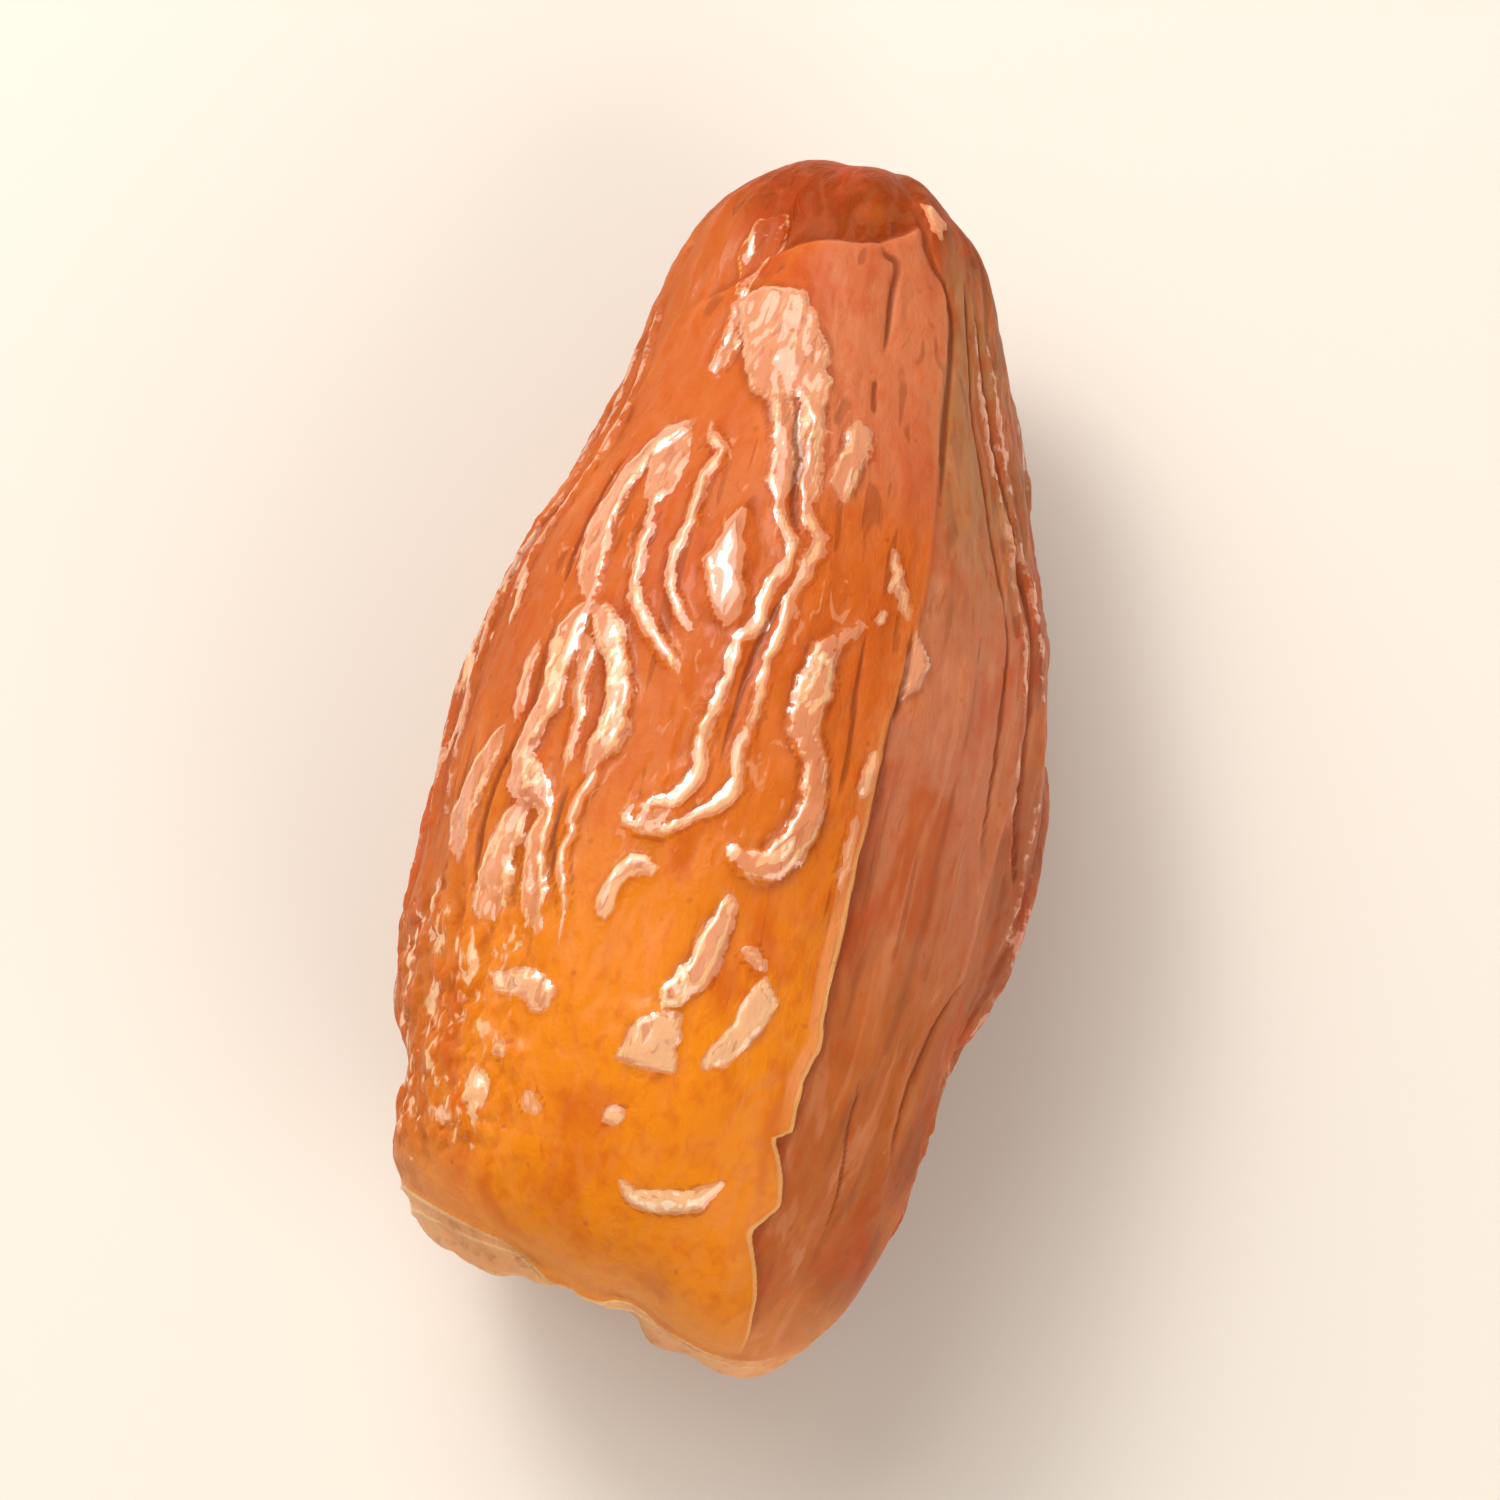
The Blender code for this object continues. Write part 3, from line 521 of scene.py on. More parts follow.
def foldField(y, kinked, girth):
    # height of all folds, how much a place lies on a pale crest, on a crest's rim and in the painted
    # shade beside its base; where two meet, nothing piles up
    total, pale, rims, feet = np.zeros((4, *y.shape))
    inside, rimWidth, rimHeight = foldShape["rim"]
    outside, footWidth = foldShape["footShade"]
    lower = [(height * foldShape["topHeight"], *rest) for height, *rest in topFolds]
    for height, width, paleness, *places in (*lower, *seededFolds()):
        near, reach, hereWidth, fade = foldReach(y, kinked, girth, places, width)
        isThin = width < foldShape["thin"]
        profile = np.exp(-(reach ** foldShape["roundness"][0 if isThin else 1]))
        rim = bell(reach, 0.8) if isThin else bell((1 - reach) * hereWidth - inside, rimWidth)
        if not isThin:
            profile += rimHeight / height * rim
        total[near] += (height * fade * profile) ** foldShape["meeting"]
        crest = paleness * np.sqrt(fade) * np.exp(-0.7 * reach**3)
        rims[near] = np.maximum(rims[near] * (reach > 1), paleness * np.sqrt(fade) * rim)
        pale[near] = np.maximum(pale[near], crest)
        footShade = np.minimum(paleness, 1) * fade * bell((reach - 1) * hereWidth - outside, footWidth)
        feet[near] = np.maximum(feet[near], footShade)
    return total ** (1 / foldShape["meeting"]), pale, rims, feet


def flakeField(y, degrees, girth):
    # height of the flat flakes, and how pale their middles and rims are
    total, pale, rims = np.zeros((3, *y.shape))
    for height, paleness, rimPaleness, *corners in flakes:
        line = np.array([*corners, corners[0]], float)
        near = (y > line[:, 0].min() - 1) & (y < line[:, 0].max() + 1)
        hereY, firstTurn = y[near], line[0, 1]
        gap, _ = nearestRun(hereY, degrees[near], girth[near], line)
        aside = turned(degrees[near], firstTurn)
        inside = np.zeros(hereY.shape, bool)
        for (y0, turn0), (y1, turn1) in zip(line, line[1:]):
            if y0 != y1:
                crossed = turn0 - firstTurn + (turn1 - turn0) * (hereY - y0) / (y1 - y0)
                inside ^= ((y0 > hereY) != (y1 > hereY)) & (aside < np.radians(crossed))
        depth = np.where(inside, gap, -gap)
        total[near] = np.maximum(total[near], height * smooth(*flakeShape["edge"], depth))
        pale[near] = np.maximum(pale[near], paleness * smooth(*flakeShape["pale"], depth))
        rim = bell(depth - flakeShape["rim"][0], flakeShape["rim"][1])
        rims[near] = np.maximum(rims[near], rimPaleness * rim)
    return total, pale, rims


def creaseField(y, degrees, girth):
    # depth of the thin creases, and how much a place lies in one, for the painted shade in them
    total, dark = np.zeros((2, *y.shape))
    for depth, width, *places in creases:
        near, reach, _, fade = foldReach(y, degrees, girth, places, width)
        groove = fade * bell(reach, 1)
        total[near] = np.maximum(total[near], depth * groove)
        dark[near] = np.maximum(dark[near], groove)
    return total, dark


def noiseField(turn, y, cellsRound, cellLength, shift):
    # smooth noise over the skin, cellsRound cells per radian of girth and cellLength mm long
    side, up = np.sin(turn) * cellsRound, np.cos(turn) * cellsRound
    places = np.stack([side + shift, up - shift, y / cellLength + shift], axis=-1).reshape(-1, 3)
    return np.array([noise.noise(Vector(place)) for place in places]).reshape(turn.shape)


def wrinkleRelief(turn, y):
    sway = wrinkleForm["sway"] * noiseField(turn, y, *wrinkleForm["swayCells"], 3.7)
    crest = noiseField(turn + sway, y, wrinkleForm["cellsRound"], wrinkleForm["cellLength"], 9.1)
    crest = np.clip(1 - wrinkleForm["narrowness"] * np.abs(crest), 0, 1) ** 1.5
    top = 1 - (1 - wrinkleForm["topShare"]) * smooth(*wrinkleForm["topCosines"], np.cos(turn))
    stem = wrinkleForm["stemShare"] + (1 - wrinkleForm["stemShare"]) * smooth(*wrinkleForm["stemYs"], y)
    tip = smooth(0, wrinkleForm["tipFade"], dateForm["length"] / 2 - y)
    return wrinkleForm["height"] * crest * top * stem * tip


def zone(name, y, degrees):
    turns, ys = skinZones[name]
    return window(degrees, turns) * window(y, ys)


def seamPlace(y, degrees, girth):
    # how far round past the seam a place is, in mm, and how strong the seam is there
    line = curveThrough(seamForm["places"])
    away = turned(degrees, np.interp(y, line[::-1, 0], line[::-1, 1])) * girth
    for size, cellLength, shift in seamForm["fray"]:
        fray = size * noiseField(np.radians(degrees), y, 0.6, cellLength, shift)
        away += fray * smooth(*seamForm["frayYs"], y)
    strength = seamForm["tipShare"] + (1 - seamForm["tipShare"]) * smooth(*seamForm["fullYs"], y)
    first, last = seamForm["places"][-1][0], seamForm["places"][0][0]
    strength *= window(y, (first, first + 1.2, last - 3.5, last))
    return away, strength


def seamRelief(away, strength):
    height, width = seamForm["step"]
    step = -0.5 * height * np.tanh(away / width) * smooth(*seamForm["stepFade"], np.abs(away))
    return strength * (step + ridge(away + seamForm["lipBack"], seamForm["lip"]))


def capPlace(y, degrees):
    # how far past the cap's edge a place is, in mm, and how strong the edge is there
    line = curveThrough(seamForm["capEdge"])
    beyond = y - np.interp(degrees, line[:, 0], line[:, 1])
    return beyond, window(degrees, seamForm["capTurns"])


def capRelief(beyond, shown):
    height, width = seamForm["capStep"]
    return -0.5 * height * np.tanh(beyond / width) * shown * window(beyond, seamForm["capFade"])


def capField(turn, y, degrees, beyond, shown):
    # the cap lies beyond its edge on the upper side, and beyond a soft border elsewhere
    crisp = shown * smooth(*seamForm["capCrisp"], degrees)
    wavering = y + 3 * noiseField(turn, y, 1.6, 5, 8.2)
    first, last, share = seamForm["capSoft"]
    soft = share * smooth(first, last, wavering)
    return smooth(*seamForm["capBorder"], beyond) * crisp + soft * (1 - crisp)


def roundPlace(points, centre, waves):
    # angle round a centre at the stem end, and distance from it less some waves
    side = points[..., 0] - centre[0]
    up = points[..., 2] - centre[1]
    angle = np.arctan2(side, up)
    return angle, np.hypot(side, up) - sum(size * np.sin(count * angle + on) for size, count, on in waves)


def stemEnd(points):
    # relief of the stem end, the distance outside its ring and its scar, and where the grooves between its
    # puckers lie, for painted shade
    angle, ringOut = roundPlace(points, stemForm["ringAt"], stemForm["ringWaves"])
    ringOut -= stemForm["ringRadius"]
    relief = ridge(ringOut, stemForm["ring"])
    relief -= stemForm["sunk"] * smooth(0, stemForm["sunkIn"], ringOut)
    angle, scarOut = roundPlace(points, stemForm["scarAt"], stemForm["scarWaves"])
    beyondScar = scarOut - stemForm["scarRadius"]
    relief -= stemForm["scarDepth"] * smooth(stemForm["scarRadius"], stemForm["scarFloor"], scarOut)
    relief += ridge(beyondScar - stemForm["scarRimOut"], stemForm["scarRim"])
    relief += ridge(scarOut, stemForm["nub"])
    twist = 0.5 * scarOut + sum(size * np.sin(count * angle + on) for size, count, on in stemForm["twist"])
    spokes = np.cos(stemForm["puckers"] * angle + twist) * (0.7 + 0.3 * np.sin(3 * angle))
    spokes *= bell(beyondScar - stemForm["puckerReach"], stemForm["puckerReach"])
    relief += stemForm["puckerHeight"] * spokes
    end = smooth(*stemForm["ys"], points[..., 1])
    return end, end * relief, ringOut, scarOut, -end * spokes


def dryEdgePlace(y, degrees, walked):
    # how far inside the dried skin of the stem end a place is, in mm along the skin
    turns, edges = np.array(stemForm["dryEdge"], float).T
    edgeY = np.interp(degrees[0], turns, edges)
    edge = np.array([np.interp(edgeY[i], y[:, i], walked[:, i]) for i in range(y.shape[1])])
    waver = stemForm["waver"] * noiseField(np.radians(degrees), y, 2.2, 2, 7.7)
    return edge[None, :] + waver - walked


def cavityOf(relief, spread):
    # how far a place lies below (positive) or above (negative) the relief round it, in mm
    mean = relief.copy()
    for _ in range(spread):
        mean = (np.roll(mean, 1, axis=1) + np.roll(mean, -1, axis=1) + 2 * mean) / 4
        mean[1:-1] = (mean[:-2] + mean[2:] + 2 * mean[1:-1]) / 4
    return mean - relief


def pressFlat(points):
    # the surface presses the lowest skin flat; what comes back is the flat spot's height
    floorLevel = points[..., 2].min() + restForm["depth"]
    above = (points[..., 2] - floorLevel) / restForm["softness"]
    points[..., 2] = floorLevel + restForm["softness"] * np.logaddexp(0, above)
    level = points[..., 2].min() + restForm["level"]
    points[..., 2] = np.maximum(points[..., 2], level)
    return level


def closedMesh(points, level):
    # one point at each pole, rings of quads between them; in metres, with its flat spot on the floor
    rings, count = points.shape[:2]
    verts = np.concatenate([
        points[0].mean(axis=0)[None],
        points[1:-1].reshape(-1, 3),
        points[-1].mean(axis=0)[None],
    ])
    middleHere = (verts.min(axis=0) + verts.max(axis=0)) / 2
    verts = (verts - (middleHere[0], middleHere[1], level)) * mm
    number = np.arange((rings - 2) * count).reshape(rings - 2, count) + 1
    after = np.roll(number, -1, axis=1)
    quads = np.stack([number[:-1], number[1:], after[1:], after[:-1]], axis=-1).reshape(-1, 4)
    last = len(verts) - 1
    faces = [(0, a, b) for a, b in zip(number[0].tolist(), after[0].tolist())]
    faces += quads.tolist()
    faces += [(last, b, a) for a, b in zip(number[-1].tolist(), after[-1].tolist())]
    mesh = bpy.data.meshes.new("dateSkin")
    mesh.from_pydata(verts.tolist(), [], faces)
    mesh.shade_smooth()
    return mesh


def storeFields(mesh, fields):
    # what the skin's own nodes read: places and masks, one number a point
    for name, field in fields.items():
        values = np.concatenate([[field[0].mean()], field[1:-1].ravel(), [field[-1].mean()]])
        attribute = mesh.attributes.new(name, "FLOAT", "POINT")
        attribute.data.foreach_set("value", values.astype(np.float32))


def skinGrid():
    # tau and turn of every point, in rings from pole to pole, closer together on top
    even = np.arange(dateForm["pointsRound"]) * (2 * math.pi / dateForm["pointsRound"])
    closer = even - dateForm["denserTop"] * np.sin(even)
    return np.meshgrid(ringPlaces(dateForm["rings"]), closer, indexing="ij")


def pebbleRelief(turn, y, pebble):
    size = pebbleForm["size"]
    bumps = noiseField(turn, y, dateForm["height"] / 2 / size, size, 1.9)
    return pebbleForm["height"] * pebble * smooth(*pebbleForm["noise"], bumps)


def slowRelief(turn, y, degrees, girth):
    # the body's uneven swell, the loose side that hangs in, and the dents
    depth, cellsRound, cellLength = dateForm["uneven"]
    relief = depth * noiseField(turn, y, cellsRound, cellLength, 5.3)
    first, last, depth = dateForm["looseSide"]
    loose = np.sin(np.pi * np.clip((degrees - first) / (last - first), 0, 1)) ** 2
    relief -= depth * loose * window(y, dateForm["looseYs"])
    for (atY, atTurn), depth, radius in dateForm["dents"]:
        relief -= depth * bell(np.hypot(turned(degrees, atTurn) * girth, y - atY), radius)
    return relief


def dateSkinMesh():
    tau, turn = skinGrid()
    points = baseForm(tau, turn)
    normal = outwardNormals(points)
    y = dateForm["length"] / 2 * tau
    girth = (dateForm["width"] + dateForm["height"]) / 4 * fruitOutline(tau)
    degrees = (np.degrees(turn) + 180) % 360 - 180

    # folds and dents sink towards both poles, where the rings close up
    steps = np.linalg.norm(np.diff(points, axis=0), axis=-1)
    walked = np.concatenate([np.zeros_like(steps[:1]), np.cumsum(steps, axis=0)])
    stemWhole, tipWhole = dateForm["wholeFrom"]
    body = smooth(1, stemWhole, walked) * smooth(0, tipWhole, walked[-1] - walked)
    pressed = smooth(*restForm["cosines"], np.cos(turn))
    pressed *= smooth(*restForm["halfLengths"], np.abs(y - restForm["at"]))

    kinked = kinkedTurn(y, degrees, girth)
    folds, pale, rims, feet = foldField(y, kinked, girth)
    flat, flatPale, flatRims = flakeField(y, kinked, girth)
    folds, pale, rims = folds + flat, np.maximum(pale, flatPale), np.maximum(rims, flatRims)
    grooves, crease = creaseField(y, degrees, girth)
    wrinkles = wrinkleRelief(turn, y)
    relief = (folds + wrinkles - grooves) * (1 - pressed)
    pebble = zone("pebble", y, degrees)
    relief += pebbleRelief(turn, y, pebble) + slowRelief(turn, y, degrees, girth)
    relief *= body
    away, seamStrength = seamPlace(y, degrees, girth)
    beyond, capWindow = capPlace(y, degrees)
    end, endRelief, ringOut, scarOut, pucker = stemEnd(points)
    relief += seamRelief(away, seamStrength) + capRelief(beyond, capWindow) + endRelief
    dryEdge = dryEdgePlace(y, degrees, walked)
    lineShown = window(degrees, stemForm["lineTurns"])
    for inside, height, width in stemForm["dryLines"]:
        shown = stemForm["lineShare"] + (1 - stemForm["lineShare"]) * lineShown
        relief += height * bell(dryEdge - inside, width) * end * shown
    cavity = cavityOf(relief, dateForm["cavitySpread"])
    points = points + normal * relief[..., None]
    level = pressFlat(points)
    mesh = closedMesh(points, level)
    patchYs, patchAway = seamForm["patch"]
    storeFields(mesh, {
        "paleCrest": pale * (1 - pressed) * body,
        "crestRim": rims * (1 - pressed) * body,
        "crestFoot": feet,
        "crease": crease,
        "cavity": cavity,
        "seamAway": away,
        "seamStrength": seamStrength,
        "along": y,
        "aside": np.abs(degrees),
        "facet": zone("facet", y, degrees),
        "cap": capField(turn, y, degrees, beyond, capWindow),
        "patch": window(y, patchYs) * window(away, patchAway),
        "pebble": pebble,
        "damp": np.maximum(pebble, zone("outlineGlints", y, degrees)),
        "worn": zone("worn", y, degrees),
        "stemEnd": end,
        "dryEdge": dryEdge,
        "lineShown": lineShown,
        "ringOut": ringOut,
        "scarOut": scarOut,
        "pucker": pucker,
        "pressed": pressed,
    })
    return mesh


dateSkin = bpy.data.objects.new("dateSkin", dateSkinMesh())
collection.objects.link(dateSkin)
print("skin grid made,", len(dateSkin.data.polygons), "faces")


# Fine relief over the whole skin, as a modifier whose result is kept
fineRelief = {
    "Swell height": 0.09,      # mm
    "Swell spacing": 2.6,      # mm, across the fruit
    "Ripple height": 0.045,    # mm
    "Ripple spacing": 1.1,     # mm, across the fruit
    "Length share": 0.4,       # width of swells and ripples as a share of their length
    "Crumple height": 0.075,   # mm, on the crests
    "Crumple spacing": 0.55,   # mm
    "Knob height": 0.12,       # mm, in the pebbled patch
    "Knob spacing": 0.6,       # mm
    "Grain height": 0.014,     # mm
    "Grain spacing": 0.5,      # mm
    "Seed": 4.0,
}


def fineReliefTree():
    tree = bpy.data.node_groups.new("fineRelief", "GeometryNodeTree")
    tree.interface.new_socket("Geometry", in_out="INPUT", socket_type="NodeSocketGeometry")
    for name in fineRelief:
        tree.interface.new_socket(name, in_out="INPUT", socket_type="NodeSocketFloat")
    tree.interface.new_socket("Geometry", in_out="OUTPUT", socket_type="NodeSocketGeometry")
    given = addNode(tree, "NodeGroupInput").outputs
    place = addNode(tree, "GeometryNodeInputPosition")
    stored = {}
    for name in ("stemEnd", "pressed", "pebble", "cap", "paleCrest"):
        stored[name] = addNode(tree, "GeometryNodeInputNamedAttribute", {"Name": name}, data_type="FLOAT")

    # noises of five sizes; those of swells, ripples and crumples are drawn out along the fruit
    stretch = addNode(tree, "ShaderNodeCombineXYZ", {0: 1, 1: given["Length share"], 2: 1})
    longPlace = addNode(tree, "ShaderNodeVectorMath", {0: place, 1: stretch}, operation="MULTIPLY")
    waves = {}
    for name, where, distortion in (
        ("Swell", longPlace, 0.3), ("Ripple", longPlace, 0.6), ("Crumple", longPlace, 1.2),
        ("Knob", place, 0.9), ("Grain", place, 0),
    ):
        spacing = given[name + " spacing"]
        perMetre = addNode(tree, "ShaderNodeMath", {0: 1000, 1: spacing}, operation="DIVIDE")
        waves[name] = addNode(tree, "ShaderNodeTexNoise", {
            "Vector": where, "W": given["Seed"], "Scale": perMetre, "Detail": 1.5, "Distortion": distortion,
        }, noise_dimensions="4D")

    # a ripple is a thin crest where its noise crosses the middle, a knob is where its noise is high
    fromMiddle = addNode(tree, "ShaderNodeMath", {0: waves["Ripple"], 1: 0.5}, operation="PINGPONG")
    crest = addNode(tree, "ShaderNodeMapRange", {
        "Value": fromMiddle, "From Min": 0.4, "From Max": 0.5,
    }, interpolation_type="SMOOTHSTEP")
    knob = addNode(tree, "ShaderNodeMapRange", {
        "Value": waves["Knob"], "From Min": 0.47, "From Max": 0.62, "To Max": stored["pebble"],
    }, interpolation_type="SMOOTHSTEP")
    ends = addNode(tree, "ShaderNodeMath", {0: stored["stemEnd"], 1: stored["cap"]}, operation="MAXIMUM")
    calm = addNode(tree, "ShaderNodeMapRange", {"Value": ends, "To Min": 1, "To Max": 0.3})
    calmCrest = addNode(tree, "ShaderNodeMath", {0: crest, 1: calm}, operation="MULTIPLY")
    lift = addNode(tree, "ShaderNodeMath", {0: calmCrest, 1: given["Ripple height"]}, operation="MULTIPLY")
    raised = {"Knob": knob}
    for name in ("Swell", "Grain", "Crumple"):
        centred = {0: waves[name], 1: 2, 2: -1}
        raised[name] = addNode(tree, "ShaderNodeMath", centred, operation="MULTIPLY_ADD")
    crumpled = {0: raised["Crumple"], 1: stored["paleCrest"]}
    raised["Crumple"] = addNode(tree, "ShaderNodeMath", crumpled, operation="MULTIPLY")
    for name, source in raised.items():
        lift = addNode(tree, "ShaderNodeMath", {
            0: source, 1: given[name + " height"], 2: lift,
        }, operation="MULTIPLY_ADD")
    flat = addNode(tree, "ShaderNodeMapRange", {"Value": stored["pressed"], "To Min": mm, "To Max": 0})
    lift = addNode(tree, "ShaderNodeMath", {0: lift, 1: flat}, operation="MULTIPLY")
    offset = addNode(tree, "ShaderNodeVectorMath", {
        0: addNode(tree, "GeometryNodeInputNormal"), "Scale": lift,
    }, operation="SCALE")
    moved = addNode(tree, "GeometryNodeSetPosition", {"Geometry": given["Geometry"], "Offset": offset})
    kept = addNode(tree, "GeometryNodeStoreNamedAttribute", {
        "Geometry": moved, "Name": "ripple", "Value": crest,
    }, data_type="FLOAT", domain="POINT")
    whole = addNode(tree, "GeometryNodeRealizeInstances", {0: kept})
    coloured = addNode(tree, "GeometryNodeSetMaterial", {
        "Geometry": whole, "Material": bpy.data.materials["waxySunDriedDateSkin"],
    })
    addNode(tree, "NodeGroupOutput", {0: coloured})
    return tree


def applyNodes(target, tree, values):
    # runs a node tree on an object and keeps its result as a plain mesh
    modifier = target.modifiers.new(tree.name, "NODES")
    modifier.node_group = tree
    for item in tree.interface.items_tree:
        if item.item_type == "SOCKET" and item.in_out == "INPUT" and item.name in values:
            modifier[item.identifier] = values[item.name]
    bpy.context.view_layer.update()
    graph = bpy.context.evaluated_depsgraph_get()
    result = bpy.data.meshes.new_from_object(target.evaluated_get(graph))
    target.modifiers.remove(modifier)
    old = target.data
    target.data = result
    bpy.data.meshes.remove(old)
    result.name = target.name


# Waxy date skin, dried by the sun on the tree: thin, with amber flesh that glows through it.
# The eye sees a saturated orange body, paler dry crests with soft wet lights and painted highlights, and a
# duller loose side.
skinLook = {
    "stem": "#e18610",        # bright amber towards the stem end
    "middle": "#c4621e",      # orange of the middle
    "side": "#a8531a",        # painted shade: browner at both sides, as if they lay in shade
    "cap": "#8e3800",         # deep orange of the tip, darkened in part as painted shade where it tilts away from the light
    "facet": "#c6764f",       # salmon of the smooth skin below the cap, partly a painted dull reflection of the light
    "looseSide": "#c27552",   # brown pink beyond the seam
    "looseTan": "#a87440",    # tan of it towards the tip
    "looseLow": "#b46024",    # the same towards the stem end
    "looseEdge": "#98583a",   # and at the side
    "patch": "#b85212",       # clearer orange patch on it
    "valley": "#8a2c06",      # painted shade: red brown beside the folds, where the relief lies low
    "red": "#b8400a",         # redder blotches
    "light": "#ec8a3e",       # lighter blotches
    "hairline": "#7e3410",    # thin brown lines along the fruit; also painted shade in the creases and beside the seam's step
    "crest": "#de9a72",       # paler, drier skin on top of the folds, carrying painted highlight too
    "crestLine": "#b9582c",   # darker lines in it
    "crestRim": "#f2c896",    # painted highlight: cream edges of the crests, also their palest parts and glints on knobs
    "glintCore": "#fae6cd",        # painted highlight: nearly white spots on the crests' rims
    "fleck": "#c24a14",       # redder flecks all over
    "lip": "#e6aa6c",         # dried edge of the seam
    "lipBand": "#e89a62",     # paler band along it
    "dryEdge": "#f0b480",     # dried tan skin at the stem end, lightened as painted light where it faces away from the lamps
    "dryLine": "#f0cd98",     # cream lines along its edge and along the stem end's ring
    "streak": "#8f4a26",      # thin long lines of the loose side; also flecks at the stem end and painted shade towards its scar
    "scar": "#5d3418",        # brown scar of the flower cap
    "stemRim": "#e8a05e",     # paler skin where it nears the stem end
    "footShade": "#8c3208",        # painted shade: red brown lines beside the base of the crests
    "under": "#94491a",       # browner underside; also painted shade in the grooves between the stem end's puckers
    "pore": "#6e2a0c",
    "crestOpaque": 0.38,
    "roughness": (0.42, 0.28),    # of plain skin and of crests
    "coat": (0.06, 1),
    "sockets": {
        "IOR": 1.46,
        "Specular IOR Level": 0.12,
        "Subsurface Weight": 0.4,
        "Subsurface Radius": (1, 0.32, 0.08),
        "Subsurface Scale": mm,
        "Coat Roughness": 0.11,
        "Coat IOR": 1.85,
    },
    "bump": (0.6, 0.1 * mm),
    "patterns": {             # spacing in mm, detail, stretch, distortion
        "mottle": (7, 3, (1, 0.6, 1), 0.8),
        "blotch": (2.4, 3, (1, 0.5, 1), 0.5),
        "crease": (0.42, 3, (1, 0.4, 1), 1.5),
        "comb": (0.36, 2, (0.35, 1, 0.35), 0.8),     # fine lines across the crests
        "strand": (0.5, 2, (1, 0.3, 1), 1),      # and along them
        "hairline": (0.6, 1, (1, 0.07, 1), 0.3),
        "fleck": (0.45, 3, (1, 0.6, 1), 0.4),
        "streak": (0.8, 3, (1, 0.09, 1), 0.5),   # long lines along the fruit
        "crumb": (0.55, 2, (1, 0.45, 1), 1.2),     # painted highlight: small pale glints between the crests
        "clump": (0.95, 2, (1, 0.7, 1), 0.8),      # wet knobs of the pebbled patch, with painted glints
        "grain": (0.16, 1, (1, 1, 1), 0),
    },
    "poreSpacing": 1.1,       # mm
}


def skinSources(tree):
    # the stored fields, and the noises over the skin
    place = addNode(tree, "ShaderNodeTexCoord").outputs["Object"]
    field = {}
    for name in (
        "along aside seamAway seamStrength facet cap patch paleCrest crestRim crestFoot crease cavity "
        "ripple damp stemEnd dryEdge ringOut scarOut pucker worn lineShown"
    ).split():
        field[name] = addNode(tree, "ShaderNodeAttribute", attribute_name=name).outputs["Fac"]
    pattern = {}
    for name, (spacing, detail, stretch, distortion) in skinLook["patterns"].items():
        where = addNode(tree, "ShaderNodeMapping", {"Vector": place, "Scale": stretch})
        pattern[name] = addNode(tree, "ShaderNodeTexNoise", {
            "Vector": where, "Scale": 1000 / spacing, "Detail": detail, "Distortion": distortion,
        })
    pores = addNode(tree, "ShaderNodeTexVoronoi", {
        "Vector": place, "Scale": 1000 / skinLook["poreSpacing"],
    })
    pattern["pore"] = pores.outputs["Distance"]
    return field, pattern


